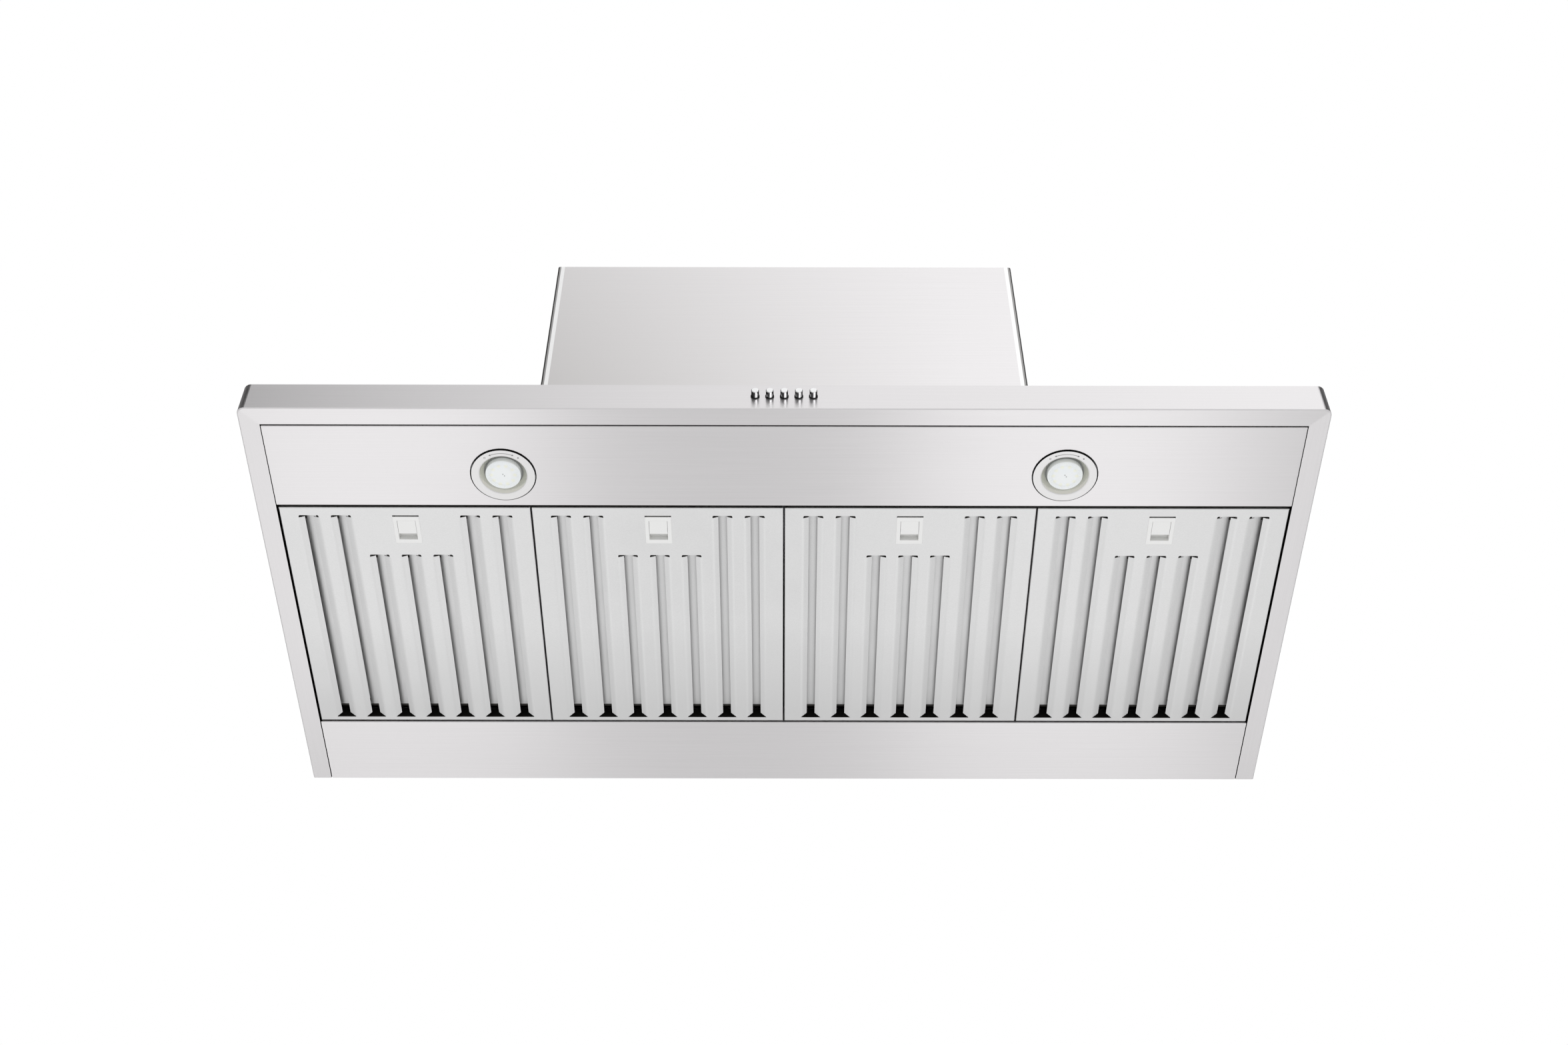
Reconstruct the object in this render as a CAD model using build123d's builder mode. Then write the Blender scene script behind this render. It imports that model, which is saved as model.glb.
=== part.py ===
from build123d import *
import math
import os

os.makedirs("parts", exist_ok=True)

# Driving dimensions in millimetres. X runs to the right, Y to the rear and Z up.
# The origin is the middle of the four cabinet screw holes, on top of the canopy roof.

# Canopy, the wide shallow tray that shows from below
hood_width = 1168.0
hood_depth = 576.0
lip_height = 42.0
sheet = 1.0
corner_radius = 9.0
edge_radius = 1.6
flange_width = 22.0
shadow_gap = 2.0
light_front_gap = 3.0
light_side_gap = 0.5
rear_side_gap = 1.2
cabinet_screw_inset_x = 44.0
cabinet_screw_inset_y = 48.0
cabinet_screw_hole_radius = 2.75

# Light panel across the front and plain panel across the rear
light_panel_depth = 111.6
light_panel_recess = 1.5
rear_panel_fold = 24.0

# Lamps behind twist-lock bezels
lamp_spacing = 614.0
lamp_setback = 92.0
bezel_radius = 35.0
bezel_gap = 1.4
bezel_proud = 1.1
bezel_edge = 0.4
bezel_thickness = 1.5
bezel_opening_radius = 26.4
bezel_opening_round = 1.5
cone_radius = 21.2
cone_height = 6.0
cone_wall = 1.0
sleeve_radius = 31.8
sleeve_wall = 1.2
sleeve_height = 9.0
sleeve_clearance = 0.7
can_wall = 1.0
can_flange_width = 6.5
can_roof_gap = 3.0
lamp_radius = 25.0
lens_radius = 19.4
lens_recess = 0.3
lens_seat = 0.5
lens_edge = 0.8

# Push buttons in the front lip
button_count = 5
button_pitch = 15.6
button_height = 21.5
button_radius = 4.1
button_protrusion = 9.0
button_travel = 3.5
button_edge = 0.7
button_clearance = 0.3
stem_radius = 3.0
stem_engagement = 8.0
stem_clearance = 0.1
stop_clearance = 0.5
button_collar_radius = 4.8
button_collar_thickness = 1.2
button_collar_edge = 0.15
switch_block_height = 18.0
switch_block_margin = 9.0
switch_block_wall = 1.5
switch_foot_width = 6.0

# Four baffle filters side by side
filter_count = 4
filter_depth = 335.6
filter_gap = 2.4
filter_side_gap = 1.7
filter_recess = 1.0
filter_sheet = 0.8
pan_height = 19.0
pan_edge_radius = 1.3
slot_count = 7
short_slot_count = 3
slot_pitch = 35.9
slot_mouth = 22.2
slot_throat = 9.6
slot_relief = 3.4
slot_flare = 5.6
slot_shoulder = 1.0
flank_rise = 2.2
flank_bend_radius = 12.0
long_slot_margin = 11.0
short_slot_margin = 69.0
rear_slot_margin = 6.0
baffle_rise = 11.0
baffle_rear_gap = 17.6
baffle_fit = 0.3
baffle_lip_run = 2.2
baffle_lip_drop = 0.9
baffle_notch_gap = 2.0

# Hooks and pins at the rear of each filter
hinge_inset = 4.0
hinge_rise = 4.0
hinge_pin_radius = 2.0
hinge_clearance = 0.1
hinge_lug_width = 4.0
hinge_lug_thickness = 2.0
hinge_rib_thickness = 2.0
hinge_side_gap = 0.7
hinge_rib_reach = 6.0
hinge_rib_cover = 2.0
hinge_notch_drop = 1.5
hanger_sheet = 1.5

# Sliding latch at the front of each filter
latch_setback = 12.7
latch_width = 29.4
latch_length = 38.5
latch_rim = 2.0
latch_proud = 0.8
latch_fit = 0.2
latch_front_gap = 1.6
latch_body_height = 11.0
pocket_border = 5.4
pocket_depth = 6.0
slider_width = 20.1
slider_length = 18.7
slider_travel = 8.0
slider_clearance = 0.35
slider_stem_width = 8.0
slider_stem_length = 6.0
tongue_width = 14.0
tongue_thickness = 0.8
tongue_engagement = 3.0
tongue_clearance = 0.3
tongue_window_margin = 0.5

# Blower housing on the canopy roof
housing_width = 550.0
housing_depth = 400.0
housing_height = 322.0
housing_setback = 60.0
housing_corner_radius = 2.2
housing_flange = 14.0
housing_fold = 14.0
roof_ledge = 32.0
lid_fold = 16.0
lid_clearance = 0.3

# Round duct collar with a pair of backdraft flaps
collar_radius = 98.5
collar_wall = 1.0
collar_height = 60.0
collar_flange_width = 18.0
flap_axis_height = 24.0
flap_sheet = 0.8
flap_clearance = 0.7
flap_root = 5.5
flap_stop_width = 5.0
flap_stop_gap = 0.3
rod_radius = 2.0
rod_clearance = 0.1
knuckle_radius = 4.0
knuckle_length = 14.0
knuckle_gap = 6.0

# Double-inlet blower
wheel_radius = 95.0
wheel_width = 180.0
blade_count = 36
blade_depth = 15.0
blade_sheet = 1.2
blade_lean = 35.0
wheel_web = 2.0
hub_radius = 18.0
hub_length = 44.0
scroll_clearance = 13.0
scroll_growth = 12.0
scroll_side_clearance = 9.0
scroll_floor_gap = 10.0
outlet_height = 132.0
inlet_radius = 74.0
inlet_lip = 6.0
outlet_corner_radius = 6.0
scroll_sheet = 1.0
rail_leg = 25.0
rail_sheet = 1.5
rail_end_gap = 0.5
shaft_radius = 6.0
shaft_clearance = 0.05
motor_radius = 52.0
motor_length = 84.0
motor_gap = 16.0
motor_boss_radius = 16.0
motor_boss_length = 6.0
bracket_arm_count = 3
bracket_arm_width = 16.0
bracket_sheet = 3.0
bracket_boss_gap = 0.5
capacitor_radius = 18.0
capacitor_length = 62.0
capacitor_inset = 115.0
capacitor_height = 120.0
strap_sheet = 1.2
strap_width = 16.0
strap_tab = 14.0

# Electrical box on the housing lid
terminal_box_width = 96.0
terminal_box_depth = 70.0
terminal_box_height = 42.0
terminal_box_sheet = 1.2
terminal_box_inset_x = 85.0
terminal_box_inset_y = 140.0
knockout_radius = 11.0
terminal_hole_offset = 18.0
terminal_tab = 14.0

# Wiring loom inside the canopy and housing
loom_radius = 4.0
loom_clearance = 1.0
loom_bend = 14.0
loom_inset = 14.0
loom_step = 9.0
loom_rest_gap = 0.2
loom_start_x = 30.0

# Screws
screw_radius = 2.0
screw_head_radius = 3.8
screw_head_height = 2.2
screw_length = 4.0
screw_clearance = 0.1
screw_taper = 20.0

# Planes and edges that several pieces share
half_width = hood_width / 2
front_y = -hood_depth / 2
back_y = hood_depth / 2
rim_z = -lip_height
roof_under_z = -sheet
cabinet_screw_spacing_x = hood_width - 2 * cabinet_screw_inset_x
cabinet_screw_spacing_y = hood_depth - 2 * cabinet_screw_inset_y
opening_half = half_width - flange_width
light_half = opening_half - light_side_gap
rear_half = opening_half - rear_side_gap
light_front_y = front_y + flange_width + light_front_gap
light_rear_y = light_front_y + light_panel_depth
light_z = rim_z + light_panel_recess
filter_front_y = light_rear_y + filter_gap
filter_rear_y = filter_front_y + filter_depth
filter_mid_y = (filter_front_y + filter_rear_y) / 2
rear_front_y = filter_rear_y + filter_gap
pan_z = rim_z + filter_recess
filter_pitch = 2 * (opening_half - shadow_gap / 2) / filter_count
filter_width = filter_pitch - filter_side_gap
filter_centres = [(i - (filter_count - 1) / 2) * filter_pitch for i in range(filter_count)]
button_z = rim_z + button_height
button_xs = [(i - (button_count - 1) / 2) * button_pitch for i in range(button_count)]
lamp_xs = [-lamp_spacing / 2, lamp_spacing / 2]
lamp_y = front_y + lamp_setback
hinge_y = filter_rear_y - hinge_inset
hinge_z = pan_z + hinge_rise
hinge_offsets = [-slot_pitch * 5 / 2, slot_pitch * 5 / 2]
latch_front_y = filter_front_y + latch_setback
tongue_z = pan_z + latch_body_height + tongue_clearance
tongue_mid_z = tongue_z + tongue_thickness / 2
housing_half = housing_width / 2
housing_front_y = front_y + housing_setback
housing_back_y = housing_front_y + housing_depth
housing_mid_y = (housing_front_y + housing_back_y) / 2
lid_z = housing_height - sheet


def front_plane(y):
    """Upright plane facing the front at depth y: local x is X and local y is Z."""
    return Plane((0, y, 0), x_dir=(1, 0, 0), z_dir=(0, -1, 0))


def side_plane(x):
    """Upright plane facing the right at width x: local x is Y and local y is Z."""
    return Plane((x, 0, 0), x_dir=(0, 1, 0), z_dir=(1, 0, 0))


def level(z):
    """Level plane at height z."""
    return Plane.XY.offset(z)


def span(low, high, count):
    """Evenly spaced places from low to high."""
    return [low + (high - low) * i / (count - 1) for i in range(count)]


def save(piece, name):
    """Label a finished piece and write it."""
    piece.label = name
    export_step(piece, f"parts/{name}.step")


# Canopy skirt: front lip and two sides with a return flange, mitred and welded at the corners
with BuildPart() as skirt:
    with BuildSketch(level(rim_z)) as outline:
        Rectangle(hood_width, hood_depth)
        fillet(outline.vertices().group_by(Axis.Y)[0], corner_radius)
    extrude(amount=lip_height - sheet)
    under_edges = skirt.edges().group_by(Axis.Z)[0]
    fillet(under_edges.sort_by(Axis.Y)[:-1], edge_radius)
    with BuildSketch(level(rim_z + sheet)) as hollow:
        with Locations((0, sheet)):
            Rectangle(hood_width - 2 * sheet, hood_depth)
        fillet(hollow.vertices().group_by(Axis.Y)[0], corner_radius - sheet)
    extrude(amount=lip_height, mode=Mode.SUBTRACT)
    with BuildSketch(level(rim_z)):
        with Locations((0, flange_width)):
            Rectangle(2 * opening_half, hood_depth)
    extrude(amount=lip_height, mode=Mode.SUBTRACT)

left_mitre = Plane((-half_width, front_y, 0), z_dir=(1, -1, 0))
right_mitre = Plane((half_width, front_y, 0), z_dir=(-1, -1, 0))

with BuildPart() as canopy_front:
    add(skirt.part)
    split(bisect_by=left_mitre, keep=Keep.TOP)
    split(bisect_by=right_mitre, keep=Keep.TOP)
    with BuildSketch(front_plane(front_y)):
        with Locations(*[(x, button_z) for x in button_xs]):
            Circle(button_radius + button_clearance)
    extrude(amount=-sheet, mode=Mode.SUBTRACT)
save(canopy_front.part, "canopy_front")

with BuildPart() as canopy_sides:
    add(split(skirt.part, bisect_by=left_mitre, keep=Keep.BOTTOM, mode=Mode.PRIVATE))
    add(split(skirt.part, bisect_by=right_mitre, keep=Keep.BOTTOM, mode=Mode.PRIVATE))
save(canopy_sides.part, "canopy_sides")

# Canopy back wall, standing on the side flanges and the rear panel
with BuildPart() as canopy_back:
    with BuildSketch(level(rim_z + sheet)):
        with Locations((0, back_y - sheet / 2)):
            Rectangle(hood_width - 2 * sheet, sheet)
    extrude(amount=lip_height - 2 * sheet)
save(canopy_back.part, "canopy_back")

# Screws that hold the housing flange down, along its two sides
flange_screw_x = housing_half + housing_flange / 2
flange_screw_ys = span(housing_front_y + housing_fold, housing_back_y - housing_fold, 4)
flange_screw_places = [(s * flange_screw_x, y) for s in (-1, 1) for y in flange_screw_ys]

# Canopy roof with the intake opening and four cabinet screw holes
with BuildPart() as canopy_roof:
    with BuildSketch(level(roof_under_z)) as roof_outline:
        Rectangle(hood_width, hood_depth)
        fillet(roof_outline.vertices().group_by(Axis.Y)[0], corner_radius)
        with Locations((0, housing_mid_y)):
            Rectangle(housing_width - 2 * roof_ledge, housing_depth - 2 * roof_ledge, mode=Mode.SUBTRACT)
        with GridLocations(cabinet_screw_spacing_x, cabinet_screw_spacing_y, 2, 2):
            Circle(cabinet_screw_hole_radius, mode=Mode.SUBTRACT)
        with Locations(*flange_screw_places):
            Circle(screw_radius + screw_clearance, mode=Mode.SUBTRACT)
    extrude(amount=sheet)
save(canopy_roof.part, "canopy_roof")

# Light panel: a channel hung under the roof, with lamp holes and the latch windows in its rear wall
with BuildPart() as light_panel:
    with BuildSketch(level(light_z)):
        with Locations((0, (light_front_y + light_rear_y) / 2)):
            Rectangle(2 * light_half, light_panel_depth)
    extrude(amount=roof_under_z - light_z)
    fillet(light_panel.edges().filter_by(Axis.X).group_by(Axis.Z)[0], edge_radius)
    with BuildSketch(level(light_z + sheet)):
        with Locations((0, (light_front_y + light_rear_y) / 2)):
            Rectangle(2 * light_half, light_panel_depth - 2 * sheet)
    extrude(amount=lip_height, mode=Mode.SUBTRACT)
    with BuildSketch(level(light_z)):
        with Locations(*[(x, lamp_y) for x in lamp_xs]):
            Circle(bezel_radius + bezel_gap)
    extrude(amount=sheet, mode=Mode.SUBTRACT)
    with BuildSketch(front_plane(light_rear_y)):
        with Locations(*[(x, tongue_mid_z + tongue_clearance) for x in filter_centres]):
            Rectangle(tongue_width + 4 * tongue_window_margin, tongue_thickness + 4 * tongue_clearance)
    extrude(amount=sheet, mode=Mode.SUBTRACT)
    with BuildSketch(front_plane(light_front_y)):
        with Locations((loom_start_x, button_z)):
            Circle(loom_radius + loom_clearance)
    extrude(amount=-sheet, mode=Mode.SUBTRACT)
save(light_panel.part, "light_panel")

# Rear panel: flush with the rim, its front edge folded up behind the filters
with BuildPart() as rear_panel:
    with BuildSketch(level(rim_z)):
        with Locations((0, (rear_front_y + back_y) / 2)):
            Rectangle(2 * rear_half, back_y - rear_front_y)
    extrude(amount=rear_panel_fold)
    fillet(rear_panel.edges().filter_by(Axis.X).group_by(Axis.Z)[0].sort_by(Axis.Y)[0], edge_radius)
    with BuildSketch(level(rim_z + sheet)):
        with Locations((0, (rear_front_y + back_y) / 2 + sheet)):
            Rectangle(2 * rear_half, back_y - rear_front_y)
    extrude(amount=rear_panel_fold, mode=Mode.SUBTRACT)
save(rear_panel.part, "rear_panel")

# Hanger rail behind the fold of the rear panel: a strip with two pinned lugs for each filter
rail_front_y = rear_front_y + sheet
rail_rear_y = rail_front_y + hanger_sheet
arm_z = rim_z + rear_panel_fold + hanger_sheet
lug_xs = [x + offset_x for x in filter_centres for offset_x in hinge_offsets]
pin_half = hinge_lug_width / 2 + hinge_side_gap + hinge_rib_thickness + hinge_side_gap
with BuildPart() as filter_hanger:
    with BuildSketch(level(rim_z + rear_panel_fold / 2)):
        with Locations((0, (rail_front_y + rail_rear_y) / 2)):
            Rectangle(2 * rear_half, hanger_sheet)
    extrude(amount=arm_z + hanger_sheet - rim_z - rear_panel_fold / 2)
    with BuildSketch(*[side_plane(x) for x in lug_xs]):
        with BuildLine():
            Polyline(
                (rail_rear_y, arm_z),
                (hinge_y + hinge_lug_thickness / 2, arm_z),
                (hinge_y + hinge_lug_thickness / 2, hinge_z),
                (hinge_y - hinge_lug_thickness / 2, hinge_z),
                (hinge_y - hinge_lug_thickness / 2, arm_z + hanger_sheet),
                (rail_rear_y, arm_z + hanger_sheet),
                close=True,
            )
        make_face()
    extrude(amount=hinge_lug_width / 2, both=True)
    with BuildSketch(*[side_plane(x) for x in lug_xs]):
        with Locations((hinge_y, hinge_z)):
            Circle(hinge_pin_radius)
    extrude(amount=pin_half, both=True)
save(filter_hanger.part, "filter_hanger")

# Slot layout shared by the two layers of every filter
slot_offsets = [(i - (slot_count - 1) / 2) * slot_pitch for i in range(slot_count)]
short_half = slot_pitch * short_slot_count / 2
slot_rear_y = filter_rear_y - rear_slot_margin
long_front_y = filter_front_y + long_slot_margin
short_front_y = filter_front_y + short_slot_margin


def slot_front(x):
    """Front end of a slot at x: the middle slots stop short behind the latch."""
    return short_front_y if abs(x) < short_half else long_front_y


flank_slope = math.atan2(flank_rise, (slot_mouth - slot_throat) / 2)
bend_run = flank_bend_radius * math.tan(flank_slope / 2)
slot_cut = slot_mouth + 2 * bend_run


def flank_bend(x, side, base_z, up):
    """Three points of the rolled bend beside a slot, folded up (1) or down (-1) from base_z."""
    root = x + side * slot_cut / 2
    half_slope = flank_slope / 2
    return [
        (root, base_z),
        (
            root - side * flank_bend_radius * math.sin(half_slope),
            base_z + up * flank_bend_radius * (1 - math.cos(half_slope)),
        ),
        (
            root - side * flank_bend_radius * math.sin(flank_slope),
            base_z + up * flank_bend_radius * (1 - math.cos(flank_slope)),
        ),
    ]


def flank_strip(x, side, base_z, up):
    """The rest of the flank's outline: down the flap, round its edge and back along the sheet."""
    bend = flank_bend(x, side, base_z, up)
    tip_x = x + side * slot_throat / 2
    tip_z = base_z + up * flank_rise
    return [
        bend[-1],
        (tip_x, tip_z),
        (
            tip_x + side * filter_sheet * math.sin(flank_slope),
            tip_z + up * filter_sheet * math.cos(flank_slope),
        ),
        (
            x + side * (slot_mouth / 2 + filter_sheet * math.tan(flank_slope / 2)),
            base_z + up * filter_sheet,
        ),
        (bend[0][0], base_z + up * filter_sheet),
        bend[0],
    ]


# Lower layer: a pan with slots folded upwards, hooks at the rear and a hole for the latch
hook_radius = hinge_pin_radius + hinge_clearance
rib_top = hinge_z + hinge_pin_radius + hinge_rib_cover
rib_mid = hinge_lug_width / 2 + hinge_side_gap + hinge_rib_thickness / 2
with BuildPart() as pan:
    with BuildSketch(level(pan_z)):
        with Locations((0, filter_mid_y)):
            Rectangle(filter_width, filter_depth)
    extrude(amount=pan_height)
    fillet(pan.edges().group_by(Axis.Z)[0], pan_edge_radius)
    with BuildSketch(level(pan_z + filter_sheet)):
        with Locations((0, filter_mid_y)):
            Rectangle(filter_width - 2 * filter_sheet, filter_depth - 2 * filter_sheet)
    extrude(amount=pan_height, mode=Mode.SUBTRACT)
    with BuildSketch(level(pan_z)):
        for x in slot_offsets:
            flank_front_y = slot_front(x) + slot_relief
            with Locations((x, (flank_front_y + slot_rear_y) / 2)):
                Rectangle(slot_cut, slot_rear_y - flank_front_y)
            with Locations((x, slot_front(x) + 3 * slot_relief / 4)):
                Rectangle(slot_mouth, slot_relief / 2)
            with Locations((x, slot_front(x) + slot_relief / 2)):
                SlotOverall(slot_mouth, slot_relief)
        with Locations((0, latch_front_y + latch_length / 2)):
            Rectangle(
                latch_width - 2 * latch_rim + 2 * latch_fit,
                latch_length - 2 * latch_rim + 2 * latch_fit,
            )
        with Locations((0, latch_front_y + (latch_rim - latch_front_gap) / 2)):
            Rectangle(latch_width, latch_rim + latch_front_gap)
    extrude(amount=filter_sheet, mode=Mode.SUBTRACT)
    for front_end in (long_front_y, short_front_y):
        with BuildSketch(front_plane(slot_rear_y)):
            for x in slot_offsets:
                if slot_front(x) == front_end:
                    for side in (-1, 1):
                        with BuildLine():
                            ThreePointArc(*flank_bend(x, side, pan_z, 1))
                            Polyline(*flank_strip(x, side, pan_z, 1))
                        make_face()
        extrude(amount=slot_rear_y - front_end - slot_relief)
    with BuildSketch(level(pan_z)):
        for x in slot_offsets:
            with BuildLine():
                Polyline(
                    (x - slot_mouth / 2, slot_rear_y),
                    (x - slot_mouth / 2, slot_rear_y - slot_shoulder),
                    (x - slot_throat / 2, slot_rear_y - slot_flare),
                    (x + slot_throat / 2, slot_rear_y - slot_flare),
                    (x + slot_mouth / 2, slot_rear_y - slot_shoulder),
                    (x + slot_mouth / 2, slot_rear_y),
                    close=True,
                )
            make_face()
    extrude(amount=flank_rise + filter_sheet, mode=Mode.SUBTRACT)
    with BuildSketch(front_plane(filter_front_y)):
        with Locations((0, tongue_mid_z)):
            Rectangle(
                tongue_width + 2 * tongue_window_margin, tongue_thickness + 2 * tongue_window_margin
            )
    extrude(amount=-filter_sheet, mode=Mode.SUBTRACT)
    with BuildSketch(front_plane(filter_rear_y)):
        with Locations(*[(x, hinge_z - hinge_notch_drop + pan_height / 2) for x in hinge_offsets]):
            Rectangle(hinge_lug_width + 2 * hinge_side_gap, pan_height)
    extrude(amount=filter_sheet, mode=Mode.SUBTRACT)
    with BuildSketch(*[side_plane(x + side * rib_mid) for x in hinge_offsets for side in (-1, 1)]):
        with BuildLine():
            Polyline(
                (hinge_y - hinge_rib_reach, pan_z + filter_sheet),
                (filter_rear_y - filter_sheet, pan_z + filter_sheet),
                (filter_rear_y - filter_sheet, rib_top),
                (hinge_y - hinge_rib_reach, rib_top),
                close=True,
            )
        make_face()
        with Locations((hinge_y, hinge_z)):
            Circle(hook_radius, mode=Mode.SUBTRACT)
        with Locations((hinge_y - hinge_rib_reach / 2, hinge_z)):
            Rectangle(hinge_rib_reach, 2 * hook_radius, mode=Mode.SUBTRACT)
    extrude(amount=hinge_rib_thickness / 2, both=True)

# Upper layer: slots between the lower ones, folded downwards, on two side legs, open round the latch
baffle_z = pan_z + baffle_rise
baffle_half = filter_width / 2 - filter_sheet - baffle_fit
baffle_front_y = filter_front_y + filter_sheet + baffle_fit
baffle_rear_y = filter_rear_y - baffle_rear_gap
upper_rear_y = baffle_rear_y - rear_slot_margin
notch_rear_y = short_front_y - rear_slot_margin
upper_offsets = [(a + b) / 2 for a, b in zip(slot_offsets[:-1], slot_offsets[1:])]


def upper_front(x):
    """Front end of an upper slot: it clears the latch like the lower slots beside it."""
    return max(slot_front(x - slot_pitch / 2), slot_front(x + slot_pitch / 2))


with BuildPart() as baffle:
    with BuildSketch(level(baffle_z)):
        with Locations((0, (baffle_front_y + baffle_rear_y) / 2)):
            Rectangle(2 * baffle_half, baffle_rear_y - baffle_front_y)
        for x in upper_offsets:
            with Locations((x, (upper_front(x) + upper_rear_y) / 2)):
                Rectangle(slot_mouth, upper_rear_y - upper_front(x), mode=Mode.SUBTRACT)
                Rectangle(slot_cut, upper_rear_y - upper_front(x) - 2 * slot_relief, mode=Mode.SUBTRACT)
        notch_width = latch_width + 2 * baffle_notch_gap
        with Locations((0, (baffle_front_y + notch_rear_y) / 2)):
            Rectangle(notch_width, notch_rear_y - baffle_front_y, mode=Mode.SUBTRACT)
    extrude(amount=filter_sheet)
    with BuildSketch(side_plane(0)):
        with BuildLine():
            Polyline(
                (baffle_rear_y, baffle_z),
                (baffle_rear_y + baffle_lip_run, baffle_z - baffle_lip_drop),
                (baffle_rear_y + baffle_lip_run, baffle_z - baffle_lip_drop + filter_sheet),
                (baffle_rear_y, baffle_z + filter_sheet),
                close=True,
            )
        make_face()
    extrude(amount=baffle_half, both=True)
    for front_end in (long_front_y, short_front_y):
        with BuildSketch(front_plane(upper_rear_y - slot_relief)):
            for x in upper_offsets:
                if upper_front(x) == front_end:
                    for side in (-1, 1):
                        with BuildLine():
                            ThreePointArc(*flank_bend(x, side, baffle_z + filter_sheet, -1))
                            Polyline(*flank_strip(x, side, baffle_z + filter_sheet, -1))
                        make_face()
        extrude(amount=upper_rear_y - front_end - 2 * slot_relief)
    with BuildSketch(level(pan_z + filter_sheet)):
        baffle_mid_y = (baffle_front_y + baffle_rear_y) / 2
        for side in (-1, 1):
            with Locations((side * (baffle_half - filter_sheet / 2), baffle_mid_y)):
                Rectangle(filter_sheet, baffle_rear_y - baffle_front_y)
    extrude(amount=baffle_z - pan_z - filter_sheet)

# Latch plate: a moulded frame with a pocket for the slider, clipped into the pan
pocket_front_y = latch_front_y + pocket_border
pocket_rear_y = latch_front_y + latch_length - pocket_border
slider_front_y = pocket_front_y + slider_clearance
slider_rear_y = slider_front_y + slider_length
stem_front_y = slider_front_y + (slider_length - slider_stem_length) / 2
stem_rear_y = stem_front_y + slider_stem_length
face_z = pan_z - latch_proud
with BuildPart() as latch_plate:
    with BuildSketch(level(face_z)):
        with Locations((0, latch_front_y + latch_length / 2)):
            RectangleRounded(latch_width, latch_length, latch_proud)
    extrude(amount=latch_proud)
    chamfer(latch_plate.edges().group_by(Axis.Z)[0], latch_proud / 2)
    with BuildSketch(level(pan_z)):
        with Locations((0, latch_front_y + latch_length / 2)):
            Rectangle(latch_width - 2 * latch_rim, latch_length - 2 * latch_rim)
    extrude(amount=latch_body_height)
    with BuildSketch(level(face_z)):
        with Locations((0, (pocket_front_y + pocket_rear_y) / 2)):
            Rectangle(slider_width + 2 * slider_clearance, pocket_rear_y - pocket_front_y)
    extrude(amount=latch_proud + pocket_depth, mode=Mode.SUBTRACT)
    with BuildSketch(level(pan_z + pocket_depth)):
        with Locations((0, (stem_front_y + stem_rear_y + slider_travel) / 2)):
            Rectangle(
                slider_stem_width + 2 * slider_clearance,
                slider_stem_length + slider_travel + 2 * slider_clearance,
            )
    extrude(amount=latch_body_height, mode=Mode.SUBTRACT)

# Latch slider: a thumb pad with a stem up through the plate
with BuildPart() as latch_slider:
    with BuildSketch(level(face_z + slider_clearance)):
        with Locations((0, (slider_front_y + slider_rear_y) / 2)):
            Rectangle(slider_width, slider_length)
    extrude(amount=latch_proud + pocket_depth - 2 * slider_clearance)
    with BuildSketch(level(pan_z + pocket_depth - slider_clearance)):
        with Locations((0, (stem_front_y + stem_rear_y) / 2)):
            Rectangle(slider_stem_width, slider_stem_length)
    extrude(amount=tongue_z - pan_z - pocket_depth + slider_clearance)

# Latch tongue: a spring-steel leaf on the stem that reaches through the light panel's rear wall
tongue_tip_y = light_rear_y - sheet - tongue_engagement
with BuildPart() as latch_tongue:
    with BuildSketch(level(tongue_z)):
        with Locations((0, (tongue_tip_y + stem_rear_y) / 2)):
            Rectangle(tongue_width, stem_rear_y - tongue_tip_y)
    extrude(amount=tongue_thickness)

for number, x in enumerate(filter_centres, 1):
    save(pan.part.moved(Pos(x, 0, 0)), f"filter_pan_{number}")
    save(baffle.part.moved(Pos(x, 0, 0)), f"filter_baffle_{number}")
    save(latch_plate.part.moved(Pos(x, 0, 0)), f"latch_plate_{number}")
    save(latch_slider.part.moved(Pos(x, 0, 0)), f"latch_slider_{number}")
    save(latch_tongue.part.moved(Pos(x, 0, 0)), f"latch_tongue_{number}")

# Lamp bezels: flat twist rings with a bright cone inside and a sleeve up into the can
bezel_face_z = light_z - bezel_proud
cone_top_z = bezel_face_z + cone_height
with BuildPart() as bezel:
    with BuildSketch(Plane.XZ) as bezel_profile:
        ring_top_z = bezel_face_z + bezel_thickness
        with BuildLine():
            Polyline(
                (bezel_radius, ring_top_z),
                (bezel_radius, bezel_face_z),
                (bezel_opening_radius, bezel_face_z),
                (cone_radius, cone_top_z),
                (cone_radius + cone_wall, cone_top_z),
                (bezel_opening_radius + cone_wall, ring_top_z),
                (sleeve_radius - sleeve_wall, ring_top_z),
                (sleeve_radius - sleeve_wall, bezel_face_z + sleeve_height),
                (sleeve_radius, bezel_face_z + sleeve_height),
                (sleeve_radius, ring_top_z),
                close=True,
            )
        make_face()
    revolve(axis=Axis.Z)
    fillet(bezel.edges().group_by(Axis.Z)[0].group_by(SortBy.LENGTH)[-1], bezel_edge)
    fillet(bezel.edges().group_by(Axis.Z)[0].group_by(SortBy.LENGTH)[0], bezel_opening_round)
for side, x in zip(("left", "right"), lamp_xs):
    save(bezel.part.moved(Pos(x, lamp_y, 0)), f"lamp_bezel_{side}")

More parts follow.
